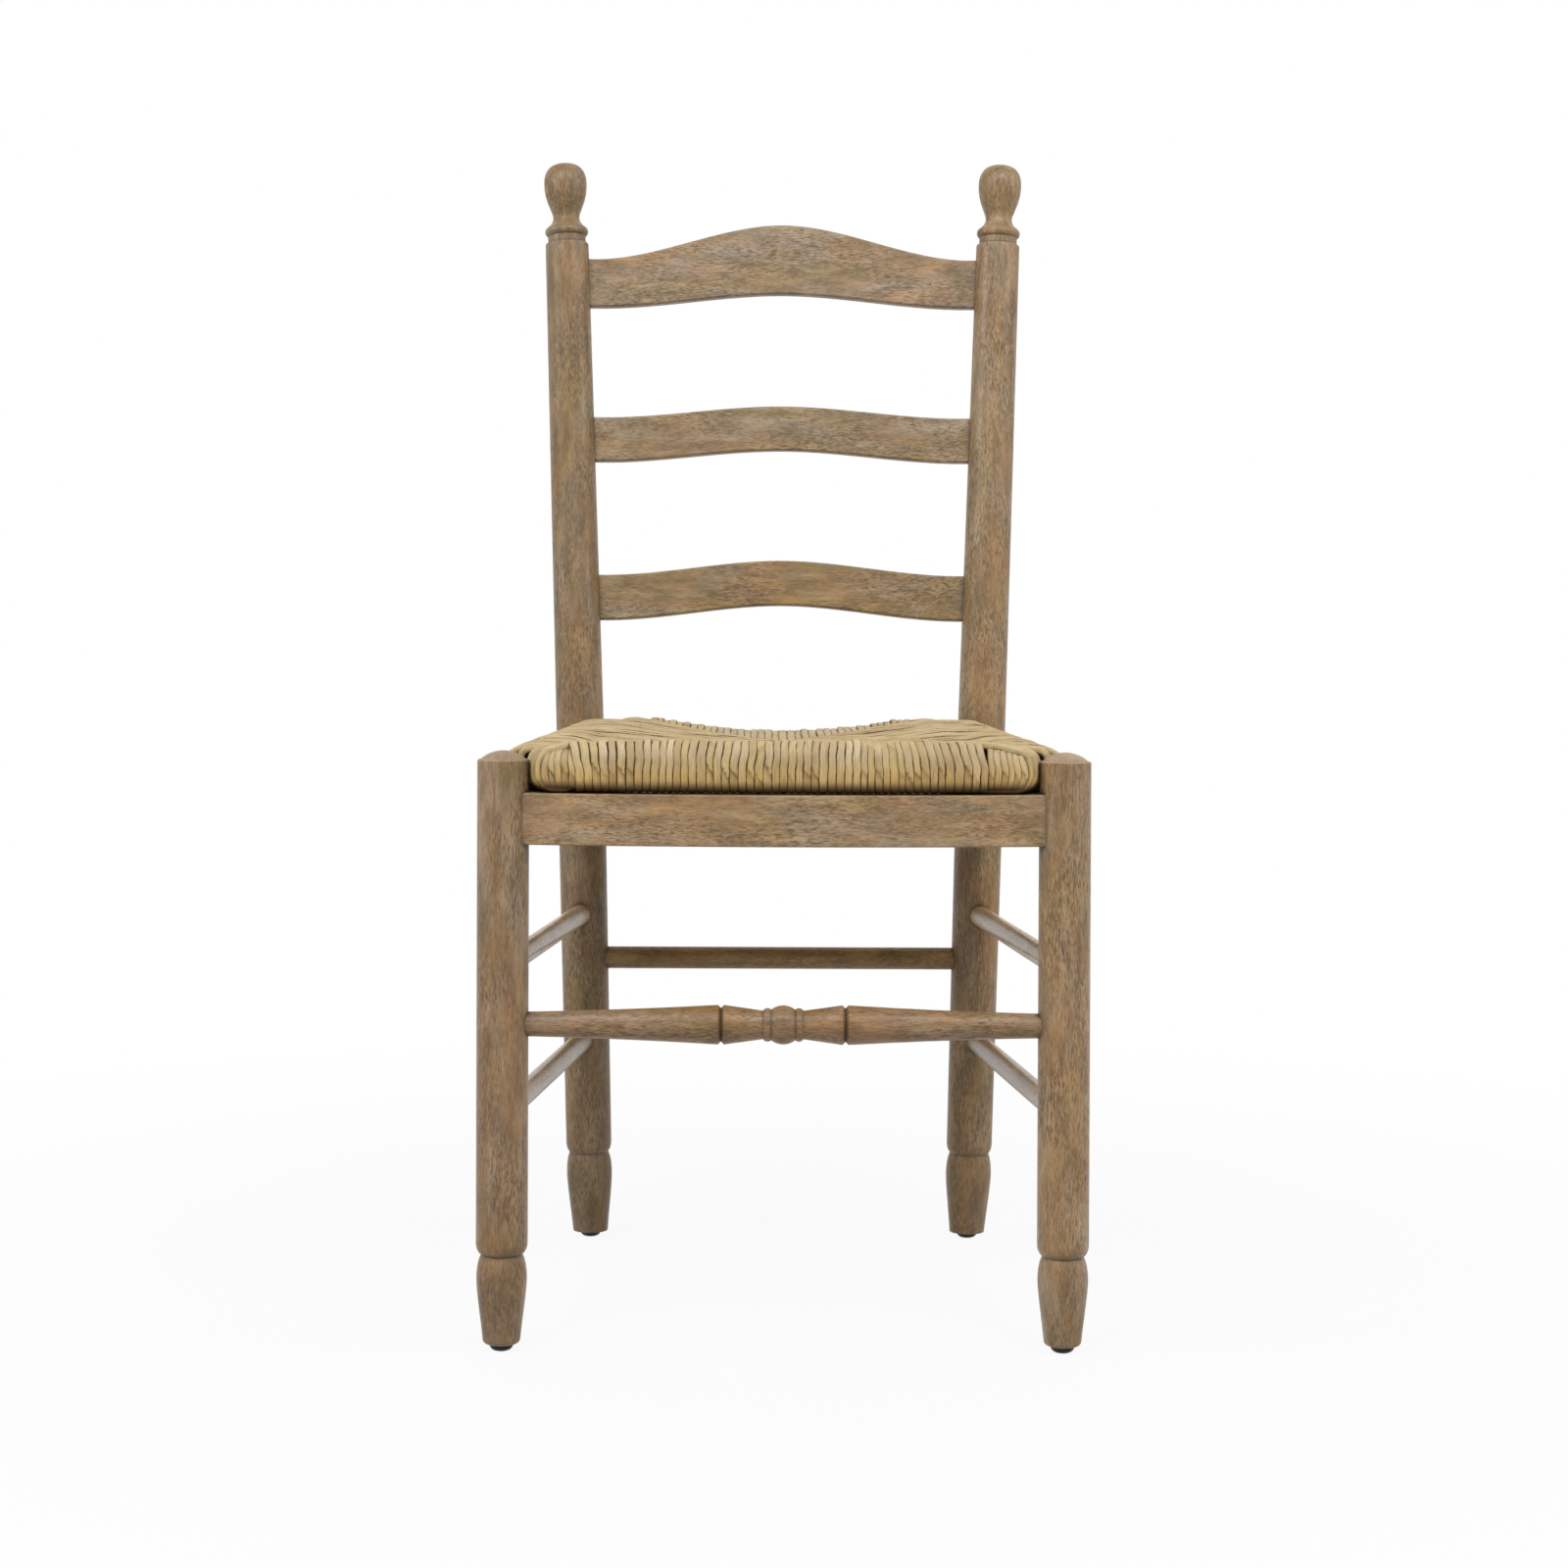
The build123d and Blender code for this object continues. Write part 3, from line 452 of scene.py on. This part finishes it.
def wrap(end, top_z, low_z, depth, power, low_power, thick=THICK, dive_run=DIVE_RUN):
    """Line of a strand round the edge of the frame, from its lower seam to its upper seam.

    Gives the distance in from the edge, the height, and the length from the outermost point."""
    half = thick / 2
    q_low = np.linspace(end, depth, RUN_POINTS)
    z_low = low_z + DIVE * smooth((q_low - end + dive_run) / dive_run)
    q_top = np.linspace(depth, end, RUN_POINTS)
    z_top = top_z(q_top) - half - DIVE * smooth((q_top - end + dive_run) / dive_run)
    turn = np.linspace(-math.pi / 2, math.pi / 2, TURN_POINTS)
    middle = (z_top[0] + z_low[-1]) / 2
    rise = (z_top[0] - z_low[-1]) / 2
    bend = 2 / np.where(turn < 0, low_power, power)
    q_arc = depth - (depth - half) * np.cos(turn) ** bend
    z_arc = middle + rise * np.sign(np.sin(turn)) * np.abs(np.sin(turn)) ** bend
    q = np.concatenate((q_low[:-1], q_arc, q_top[1:]))
    z = np.concatenate((z_low[:-1], z_arc, z_top[1:]))
    length = np.concatenate(([0], np.cumsum(np.hypot(np.diff(q), np.diff(z)))))
    outermost = length[np.argmin(q)]
    places = [0.0]
    while places[-1] < length[-1]:
        near = np.interp(places[-1], length, q) < depth + FINE_PAST
        places.append(places[-1] + (FINE_STEP if near else COARSE_STEP))
    places[-1] = length[-1]
    return np.interp(places, length, q), np.interp(places, length, z), np.array(places) - outermost


def plane_normals(q, z):
    """Outward directions of a line in the plane of a wrap."""
    dq = np.gradient(q)
    dz = np.gradient(z)
    size = np.hypot(dq, dz)
    return -dz / size, dq / size


def rounded(share):
    """Sine or cosine of a circle's angles drawn out to a section with flat sides."""
    return np.sign(share) * np.abs(share) ** (2 / SECTION_POWER)


class Weave:
    """Strands gathered into one mesh, with each point's place along and across its strand."""

    def __init__(self):
        self.points = []
        self.faces = []
        self.places = []
        self.folds = []
        self.count = 0

    def strand(self, line, outward, along, width, thick, folds, joints):
        """Add a closed tube along a line, with its broad side outward and creased by its folds."""
        tangent = np.gradient(line, axis=0)
        tangent /= np.linalg.norm(tangent, axis=1)[:, None]
        side = np.cross(tangent, outward)
        side /= np.linalg.norm(side, axis=1)[:, None]
        up = np.cross(side, tangent)
        phase = rng.uniform(0, 2 * math.pi, len(SWELL))
        swell = 1 + sum(share * np.sin(along / run + p) for (run, share), p in zip(SWELL, phase))
        half_width = (width / 2 + OVERLAP) * swell
        half_thick = thick / 2 * (1 + THICK_WAVE * np.sin(along / THICK_WAVE_LENGTH + phase[-1]))
        angle = np.arange(SECTION_SIDES) * 2 * math.pi / SECTION_SIDES - math.pi / 2
        over = rounded(np.sin(angle))
        across = half_width[:, None] * rounded(np.cos(angle))
        height = half_thick[:, None] * over
        shade = np.zeros_like(height)
        for place, slope, depth in folds:
            below = place - slope * across - along[:, None]
            step = np.where(below > 0, np.exp(-np.maximum(below, 0) / FOLD_FADE), 0.0)
            height = height - depth * step * np.maximum(over, 0)
            shade = np.maximum(shade, step * depth / FOLD_DEPTH)
        rings = line[:, None] + side[:, None] * across[:, :, None] + up[:, None] * height[:, :, None]
        n = len(line)
        first = self.count + np.arange(n * SECTION_SIDES).reshape(n, SECTION_SIDES)
        turned = np.roll(first, -1, axis=1)
        quads = np.stack((first[:-1], first[1:], turned[1:], turned[:-1]), axis=-1).reshape(-1, 4)
        self.faces += quads.tolist()
        self.faces.append(first[0].tolist())
        self.faces.append(first[-1][::-1].tolist())
        self.points.append(rings.reshape(-1, 3))
        round_share = np.arange(SECTION_SIDES) / SECTION_SIDES
        place = np.empty((n, SECTION_SIDES, 3))
        place[:, :, 0] = along[:, None] / MM
        place[:, :, 1] = STRAND_MIDDLE + (round_share - STRAND_MIDDLE) * joints
        place[:, :, 2] = rng.uniform()
        self.places.append(place.reshape(-1, 3))
        # Strength of the painted shadow below the folds
        self.folds.append(shade.ravel())
        self.count += n * SECTION_SIDES

    def build(self, name):
        """Mesh object of all strands, in metres."""
        mesh = bpy.data.meshes.new(name)
        points = np.concatenate(self.points) / MM
        points[:, 1] += LEG_Y
        mesh.from_pydata(points.tolist(), [], self.faces)
        mesh.shade_smooth()
        places = mesh.attributes.new("strand", "FLOAT_VECTOR", "POINT")
        places.data.foreach_set("vector", np.concatenate(self.places).ravel())
        folds = mesh.attributes.new("fold_shadow", "FLOAT", "POINT")
        folds.data.foreach_set("value", np.concatenate(self.folds))
        obj = bpy.data.objects.new(name, mesh)
        scene.collection.objects.link(obj)
        return obj


def end_rail_strands(weave, at_front, limits, filled, shift):
    """Strands that wrap the front or the back rail and run in to the seams."""
    way = 1 if at_front else -1
    outer_x = FRONT_HALF if at_front else BACK_HALF
    base = SEAT_BASE + THICK / 2 + BASE_LIFT + (FILL_LIFT if filled else 0.0)
    for x, width in spread(*limits, FILL_PITCH if filled else PITCH):
        half = 1 if x > 0 else -1
        inner_x = FRONT_FILL_HALF[half] if at_front else BACK_FILL_HALF
        edge = front_edge(x) if at_front else BACK_D
        run = ROLL_DEPTH + DIVE_RUN
        if not filled:
            seam = FRONT_SEAM_D if at_front else BACK_SEAM_D
            run = max(way * (seam - edge) + inner_x - abs(x) + PAST_SEAM, run)
        lift = rng.normal(0, END_LIFT)
        outer = np.clip((abs(x) - inner_x) / (outer_x - inner_x), 0, 1)
        if not at_front:
            lift += BACK_END_RISE * smooth((abs(x) - BACK_END_X) / BACK_END_RUN)

        def top(q):
            if filled and at_front:
                return np.full_like(q, SEAT_TOP + FILL_TOP + FILL_RISE * (1 - outer) + lift)
            drop = BACK_FILL_DROP if filled else 0.0
            return top_height(x, edge + way * q) - drop + lift

        q, z, along = wrap(run, top, base, ROLL_DEPTH, ROLL_POWER, ROLL_POWER)
        across = x + shift(along, x)
        if filled:
            arch = (z - (z.min() + z.max()) / 2) / (np.ptp(z) / 2)
            across = across - half * FILL_BULGE * outer**FILL_BULGE_POWER * arch**2
        elif at_front:
            across = across + leaning(x, along)
        line = np.column_stack((across, edge + way * q, z))
        nq, nz = plane_normals(q, z)
        outward = np.column_stack((np.zeros_like(q), way * nq, nz))
        weave.strand(line, outward, along, width, THICK, creases(along, at_front), END_JOINTS)


def side_rail_strands(weave, way, limits, shift):
    """Strands that wrap one side rail and run in to the seams or to the middle of the seat."""
    for d, width in spread(*limits):
        arched = d < LEG_NOTCH_D
        if arched:
            edge = arch_edge(d, width)
        elif d < POST_NOTCH_D:
            edge = side_edge(d)
        else:
            edge = POST_NOTCH_X
        depth, power, low_power = SIDE_ROLL_DEPTH, SIDE_ROLL_POWER, SIDE_LOW_POWER
        thick, dive_run = THICK, DIVE_RUN
        if arched:
            depth = ARCH_ROLL_DEPTH
            power = low_power = np.interp(d, (SIDE_FIRST_D, LEG_NOTCH_D), ARCH_ROLL_POWER)
            thick, dive_run = ARCH_THICK, ARCH_DIVE_RUN
        front_seam = FRONT_FILL_HALF[way] - (d - FRONT_SEAM_D)
        front_seam += way * leaning(way * front_seam, d - FRONT_D + ROLL_DEPTH)
        back_seam = BACK_FILL_HALF - (BACK_SEAM_D - d)
        run = edge - max(MIDDLE_GAP, front_seam, back_seam) + PAST_SEAM
        depth = min(depth, run - DIVE_RUN)
        base = SEAT_BASE + thick / 2 + SIDE_BASE_LIFT
        lift = np.clip(rng.normal(0, SIDE_LIFT), -SIDE_LIFT_LIMIT, SIDE_LIFT_LIMIT)
        turn = rng.uniform(0, 2 * math.pi)
        at_end = d - width < limits[0] or d + width > limits[1]
        joints = ARCH_JOINTS if arched or at_end else SIDE_JOINTS
        layers = END_LAYERS if at_end and limits[0] == LEG_NOTCH_D else 1
        for layer in range(layers):
            inner = layer * (THICK - LAYER_SINK)

            def top(q):
                wave = SIDE_WAVE * np.sin(q / SIDE_WAVE_LENGTH + turn)
                return top_height(edge - q, d) + lift + wave - inner

            q, z, along = wrap(
                run - inner, top, base + inner, depth - inner, power, low_power, thick, dive_run,
            )
            line = np.column_stack((way * (edge - inner - q), d + shift(along, d), z))
            nq, nz = plane_normals(q, z)
            outward = np.column_stack((-way * nq, np.zeros_like(q), nz))
            weave.strand(line, outward, along, width, thick, creases(along, False), joints)


def rush_weave():
    """The woven seat: strands of the front, the back, the left and the right rail."""
    weave = Weave()
    front_shift = wander(END_WANDER)
    back_shift = wander(END_WANDER)
    for at_front, left, right, outer, shift in (
        (True, FRONT_FILL_HALF[-1], FRONT_FILL_HALF[1], FRONT_HALF, front_shift),
        (False, BACK_FILL_HALF, BACK_FILL_HALF, BACK_HALF, back_shift),
    ):
        end_rail_strands(weave, at_front, (-outer, -left), True, shift)
        end_rail_strands(weave, at_front, (-left, right), False, shift)
        end_rail_strands(weave, at_front, (right, outer), True, shift)
    for way in (-1, 1):
        side_shift = wander(SIDE_WANDER)
        side_rail_strands(weave, way, (SIDE_FIRST_D, LEG_NOTCH_D), side_shift)
        side_rail_strands(weave, way, (LEG_NOTCH_D, POST_NOTCH_D), side_shift)
        side_rail_strands(weave, way, (POST_NOTCH_D, SIDE_LAST_D), side_shift)
    return weave.build("rush_weave")


def feed(tree, socket, value):
    """Set a socket to a value, or link it to the socket that the value comes from."""
    if isinstance(value, bpy.types.NodeSocket):
        tree.links.new(value, socket)
    else:
        socket.default_value = value


def add(tree, kind, inputs=None, **settings):
    """New node with its settings; inputs are values or the sockets they come from."""
    new = tree.nodes.new(kind)
    for key, value in settings.items():
        setattr(new, key, value)
    for key, value in (inputs or {}).items():
        feed(tree, new.inputs[key], value)
    return new


def mix(tree, factor, a, b, blend="MIX"):
    """Colour mixed from two colours."""
    new = add(tree, "ShaderNodeMix", data_type="RGBA", blend_type=blend)
    for identifier, value in (("Factor_Float", factor), ("A_Color", a), ("B_Color", b)):
        socket = next(entry for entry in new.inputs if entry.identifier == identifier)
        feed(tree, socket, value)
    return next(entry for entry in new.outputs if entry.identifier == "Result_Color")


def multiply(tree, a, b):
    """Product of two colours."""
    return mix(tree, 1.0, a, b, "MULTIPLY")


def maths(tree, operation, *values):
    """Result of a sum on values or sockets."""
    return add(tree, "ShaderNodeMath", dict(enumerate(values)), operation=operation).outputs[0]


def fade(tree, value, span, levels):
    """Smooth passage from one level to another over a span of a value."""
    names = ("From Min", "From Max", "To Min", "To Max")
    inputs = {"Value": value, **dict(zip(names, (*span, *levels)))}
    return add(tree, "ShaderNodeMapRange", inputs, interpolation_type="SMOOTHSTEP").outputs["Result"]


def ramp(tree, factor, stops):
    """Colour ramp from (position, colour or grey) stops."""
    new = add(tree, "ShaderNodeValToRGB", {"Fac": factor})
    elements = new.color_ramp.elements
    while len(elements) < len(stops):
        elements.new(0.5)
    for element, (position, colour) in zip(elements, stops):
        element.position = position
        element.color = (*colour, 1) if isinstance(colour, tuple) else (colour, colour, colour, 1)
    return new.outputs["Color"]


def noise(tree, vector, scale=1.0, detail=2.0, rough=0.5, distort=0.0):
    """Noise texture value."""
    inputs = {"Vector": vector, "Scale": scale, "Detail": detail, "Roughness": rough, "Distortion": distort}
    return add(tree, "ShaderNodeTexNoise", inputs).outputs["Fac"]


def object_place(tree):
    """Place in the object's own axes, which are the frame's."""
    return add(tree, "ShaderNodeTexCoord").outputs["Object"]


def axes(tree, vector):
    """The three parts of a vector."""
    return add(tree, "ShaderNodeSeparateXYZ", {"Vector": vector}).outputs


def new_material(name):
    """Empty node material with its shader."""
    material = bpy.data.materials.new(name)
    material.use_nodes = True
    return material, material.node_tree, material.node_tree.nodes["Principled BSDF"]


def dress(tree, shader, **sockets):
    """Feed the shader's sockets, which are named with underscores for spaces."""
    for name, value in sockets.items():
        feed(tree, shader.inputs[name.replace("_", " ")], value)


def washed_wood(name, grain, seed, lit_and_worn_tops, gloss, tint):
    """Brown hardwood under a thin grey wash, with open pores along the grain, painted shade and grime in
    crevices, painted shade towards the floor and, on the front legs, paler tops from painted sheen and wear.
    """
    material, tree, shader = new_material(name)
    place = object_place(tree)

    def paint(colour):
        return (*[share * channel for share, channel in zip(tint, colour)], 1)

    def figure(across_scale, stretch, shift, detail, rough, distort):
        scale = [across_scale] * 3
        scale["xyz".index(grain)] = across_scale / stretch
        inputs = {"Vector": place, "Scale": scale, "Location": (seed + shift, seed * SEED_SLOPE, shift)}
        vector = add(tree, "ShaderNodeMapping", inputs).outputs["Vector"]
        return noise(tree, vector, detail=detail, rough=rough, distort=distort)

    colour = mix(tree, ramp(tree, figure(*PATCHES), PATCH_STOPS), paint(TAN), paint(ORANGE))
    colour = mix(tree, ramp(tree, figure(*TINTS), TINT_STOPS), colour, paint(OLIVE))
    colour = mix(tree, ramp(tree, figure(*WASHES), WASH_STOPS), colour, paint(WASH))
    colour = multiply(tree, colour, ramp(tree, figure(*CLOUDS), CLOUD_STOPS))
    colour = multiply(tree, colour, ramp(tree, figure(*MOTTLE), MOTTLE_STOPS))
    open_grain = ramp(tree, figure(*OPEN_GRAIN), OPEN_STOPS)
    pores = figure(*PORES)
    flecks = maths(tree, "MULTIPLY", ramp(tree, pores, FLECK_STOPS), open_grain)
    colour = mix(tree, flecks, colour, paint(DARK))
    lights = maths(tree, "MULTIPLY", ramp(tree, pores, LIGHT_STOPS), open_grain)
    colour = mix(tree, lights, colour, paint(PALE))
    # Painted shade and grime in crevices and at the joins between pieces, from ambient occlusion
    nook_shade_and_grime = add(tree, "ShaderNodeAmbientOcclusion", {"Distance": NOOK_REACH}, samples=NOOK_SAMPLES)
    colour = mix(tree, ramp(tree, nook_shade_and_grime.outputs["AO"], NOOK_SHADE_AND_GRIME_STOPS), colour, paint(GRIME_AND_PAINTED_SHADE))
    # Painted shade: darker towards the floor, farther from the lamps
    colour = mix(tree, fade(tree, axes(tree, place)["Z"], NEAR_FLOOR_SHADE_Z, NEAR_FLOOR_SHADE), colour, paint(DARK))
    # Painted top light and sheen with some wear: paler up-facing tops of the front legs
    if lit_and_worn_tops:
        facing = add(tree, "ShaderNodeTexCoord").outputs["Normal"]
        colour = mix(tree, fade(tree, axes(tree, facing)["Z"], SHEEN_AND_WEAR_FACING, SHEEN_AND_WEAR), colour, paint(WASH))
    bump = add(tree, "ShaderNodeBump", {"Height": pores, **PORE_BUMP}).outputs["Normal"]
    dress(tree, shader, Base_Color=colour, Roughness=ramp(tree, pores, PORE_ROUGH_STOPS), Normal=bump)
    dress(tree, shader, Specular_IOR_Level=WOOD_SPECULAR, Coat_Weight=gloss, Coat_Roughness=GLOSS_ROUGH)
    return material


def raw_wood():
    """Pale unfinished softwood."""
    material, tree, shader = new_material("raw_wood")
    inputs = {"Vector": object_place(tree), "Scale": RAW_SCALE}
    vector = add(tree, "ShaderNodeMapping", inputs).outputs["Vector"]
    rings = noise(tree, vector, detail=RAW_DETAIL, distort=RAW_DISTORT)
    dress(tree, shader, Base_Color=ramp(tree, rings, RAW_STOPS), Roughness=RAW_ROUGH)
    return material


def black_plastic():
    """Moulded black plastic."""
    material, tree, shader = new_material("black_plastic")
    grain = noise(tree, object_place(tree), scale=PLASTIC_SCALE, detail=PLASTIC_DETAIL)
    dress(tree, shader, Base_Color=ramp(tree, grain, PLASTIC_STOPS), Specular_IOR_Level=PLASTIC_SPECULAR)
    dress(tree, shader, Roughness=ramp(tree, grain, PLASTIC_ROUGH_STOPS))
    return material


def steel():
    """Zinc plated steel."""
    material, tree, shader = new_material("steel")
    grain = noise(tree, object_place(tree), scale=STEEL_SCALE, detail=STEEL_DETAIL)
    dress(tree, shader, Base_Color=ramp(tree, grain, STEEL_STOPS), Metallic=1.0)
    dress(tree, shader, Roughness=ramp(tree, grain, STEEL_ROUGH_STOPS))
    return material


def rush_material():
    """Dried rush: strands of differing straw tones with fibres, creases with painted shadows, painted shade
    at the joints and at the foot of the rolls, and yellower lower rolls from painted shade and less bleached
    straw.
    """
    material, tree, shader = new_material("rush")
    place = add(tree, "ShaderNodeAttribute", attribute_name="strand").outputs["Vector"]
    fold_shadow = add(tree, "ShaderNodeAttribute", attribute_name="fold_shadow").outputs["Fac"]
    parts = axes(tree, place)
    height = axes(tree, object_place(tree))["Z"]

    def stretched(scale):
        return add(tree, "ShaderNodeMapping", {"Vector": place, "Scale": scale}).outputs["Vector"]

    colour = ramp(tree, parts["Z"], STRAW_STOPS)
    drift = noise(tree, stretched(DRIFT_SCALE), detail=DRIFT_DETAIL)
    colour = mix(tree, ramp(tree, drift, STAIN_STOPS), colour, STAIN)
    colour = mix(tree, ramp(tree, drift, BLEACHED_STOPS), colour, BLEACHED)
    # Yellower lower rolls: mostly painted shade, partly less bleached straw
    yellow_shade = fade(tree, height, YELLOW_SHADE_Z, YELLOW_SHADE_SHARE)
    colour = mix(tree, yellow_shade, colour, multiply(tree, colour, YELLOWING_AND_SHADE))
    # Painted shadow at the foot of the rolls, above the aprons
    foot_shadow = fade(tree, height, FOOT_Z, FOOT_SHARE)
    foot_shadow = maths(tree, "MULTIPLY", foot_shadow, fade(tree, parts["X"], FOOT_ALONG, FOOT_REACH))
    colour = mix(tree, foot_shadow, colour, multiply(tree, colour, SHADING))
    fibres = noise(tree, stretched(FIBRE_SCALE), detail=FIBRE_DETAIL, rough=FIBRE_ROUGH)
    colour = multiply(tree, colour, ramp(tree, fibres, FIBRE_STOPS))
    # Painted shadow below each crease
    colour = mix(tree, ramp(tree, fold_shadow, CREASE_SHADOW_STOPS), colour, CREASE_SHADOW)
    aside = maths(tree, "ABSOLUTE", maths(tree, "SUBTRACT", parts["Y"], STRAND_MIDDLE))
    ragged = noise(tree, stretched(RAGGED_SCALE), detail=RAGGED_DETAIL)
    aside = maths(tree, "MULTIPLY_ADD", ragged, RAGGED, aside)
    # Painted shade at the joints between strands
    colour = mix(tree, fade(tree, aside, JOINT_SHADE_PLACE, JOINT_SHADE_SHARE), colour, JOINT_SHADE)
    bump = add(tree, "ShaderNodeBump", {"Height": fibres, **FIBRE_BUMP}).outputs["Normal"]
    dress(tree, shader, Base_Color=colour, Normal=bump)
    dress(tree, shader, Roughness=RUSH_ROUGH, Specular_IOR_Level=RUSH_SPECULAR)
    return material


def wood_finishes():
    """Washed wood of each piece, with its own grain, seed, gloss and tint; the tints of the side stretchers
    and the back stretcher hold a painted reflection and painted shade.
    """
    made = {}
    seed = 0.0
    for grain, names in GRAIN.items():
        for name in names:
            seed += SEED_STEP
            lit_and_worn_tops = name.endswith("front_leg")
            gloss = SIDE_GLOSS if grain == "y" and name.endswith("stretcher") else GLOSS
            tint = TINT.get(name, PLAIN)
            made[name] = washed_wood("washed_" + name, grain, seed, lit_and_worn_tops, gloss, tint)
    return made


def photo_camera():
    """Camera that sees the chair as the photograph does."""
    data = bpy.data.cameras.new("camera")
    data.sensor_width = SENSOR_MM
    data.lens = SENSOR_MM * FOCAL_PX / FRAME_PX
    data.shift_x = (FRAME_PX / 2 - AXIS_PX[0]) / FRAME_PX
    data.shift_y = -(FRAME_PX / 2 - AXIS_PX[1]) / FRAME_PX
    camera = bpy.data.objects.new("camera", data)
    scene.collection.objects.link(camera)
    stand = Matrix.Translation((CAMERA_X, LEG_Y - CAMERA_BACK, CAMERA_Z))
    tilt = Matrix.Rotation(math.radians(90 - CAMERA_PITCH), 4, "X")
    camera.matrix_world = stand @ tilt @ Matrix.Rotation(math.radians(CAMERA_ROLL), 4, "Z")
    return camera


def in_view(tree):
    """1 where the surroundings are seen directly, mirrored or through glass, and 0 where they only light."""
    rays = add(tree, "ShaderNodeLightPath").outputs
    mirrored = maths(tree, "MAXIMUM", rays["Is Glossy Ray"], rays["Is Transmission Ray"])
    return maths(tree, "MAXIMUM", rays["Is Camera Ray"], mirrored)


def white_floor():
    """White floor with the soft shadow of the chair near its feet."""
    material, tree, shader = new_material("floor")
    dress(tree, shader, Base_Color=FLOOR_GREY, Roughness=FLOOR_ROUGH)
    place = add(tree, "ShaderNodeNewGeometry").outputs["Position"]
    away = add(tree, "ShaderNodeVectorMath", {0: place}, operation="LENGTH").outputs["Value"]
    seen = maths(tree, "MULTIPLY", in_view(tree), fade(tree, away, FLOOR_REACH, FLOOR_GLOW))
    glow = add(tree, "ShaderNodeEmission", {"Color": WHITE, "Strength": 1.0}).outputs[0]
    blend = add(tree, "ShaderNodeMixShader", {0: seen, 1: shader.outputs[0], 2: glow})
    tree.links.new(blend.outputs[0], tree.nodes["Material Output"].inputs["Surface"])
    mesh = bpy.data.meshes.new("floor")
    corners = [(FLOOR_HALF * x, FLOOR_HALF * y, 0) for x, y in FLOOR_CORNERS]
    mesh.from_pydata(corners, [], [(0, 1, 2, 3)])
    mesh.materials.append(material)
    floor = bpy.data.objects.new("floor", mesh)
    scene.collection.objects.link(floor)
    return floor


def studio():
    """Room that looks white, and lights the chair most from behind and less from above and in front."""
    world = bpy.data.worlds.new("studio")
    world.use_nodes = True
    tree = world.node_tree
    toward = axes(tree, add(tree, "ShaderNodeTexCoord").outputs["Generated"])
    behind = fade(tree, toward["Y"], BACK_SPAN, (ROOM_LEVEL, BACK_LEVEL))
    above = fade(tree, toward["Z"], TOP_SPAN, (ROOM_LEVEL, TOP_LEVEL))
    room = maths(tree, "MAXIMUM", behind, above)
    levels = {"Value": in_view(tree), "To Min": room, "To Max": 1.0}
    level = add(tree, "ShaderNodeMapRange", levels).outputs["Result"]
    dress(tree, tree.nodes["Background"], Color=WHITE, Strength=level)
    return world


def lamp(name, place, target, power):
    """Square soft lamp that faces a point."""
    data = bpy.data.lights.new(name, "AREA")
    data.size = LAMP_SIZE
    data.energy = power
    obj = bpy.data.objects.new(name, data)
    obj.location = place
    obj.rotation_euler = (Vector(target) - Vector(place)).to_track_quat("-Z", "Y").to_euler()
    scene.collection.objects.link(obj)


# Rush seat
rush = rush_weave()
rush.data.materials.append(rush_material())
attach(rush, "root")
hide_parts("rush_seat")

# Finishes of the rigid pieces
finishes = {"raw_wood": raw_wood(), "black_plastic": black_plastic(), "steel": steel(), **wood_finishes()}
for part in frame["record"]["subparts"]:
    name = part["node"]
    if name == "rush_seat":
        continue
    mesh = nodes[name].data
    mesh.materials.clear()
    mesh.materials.append(finishes[name] if name in finishes else finishes[part["material_slot"]])

# Surroundings
scene.camera = photo_camera()
floor = white_floor()
scene.world = studio()
for row in LAMPS:
    lamp(*row)
scene.view_settings.view_transform = "Standard"
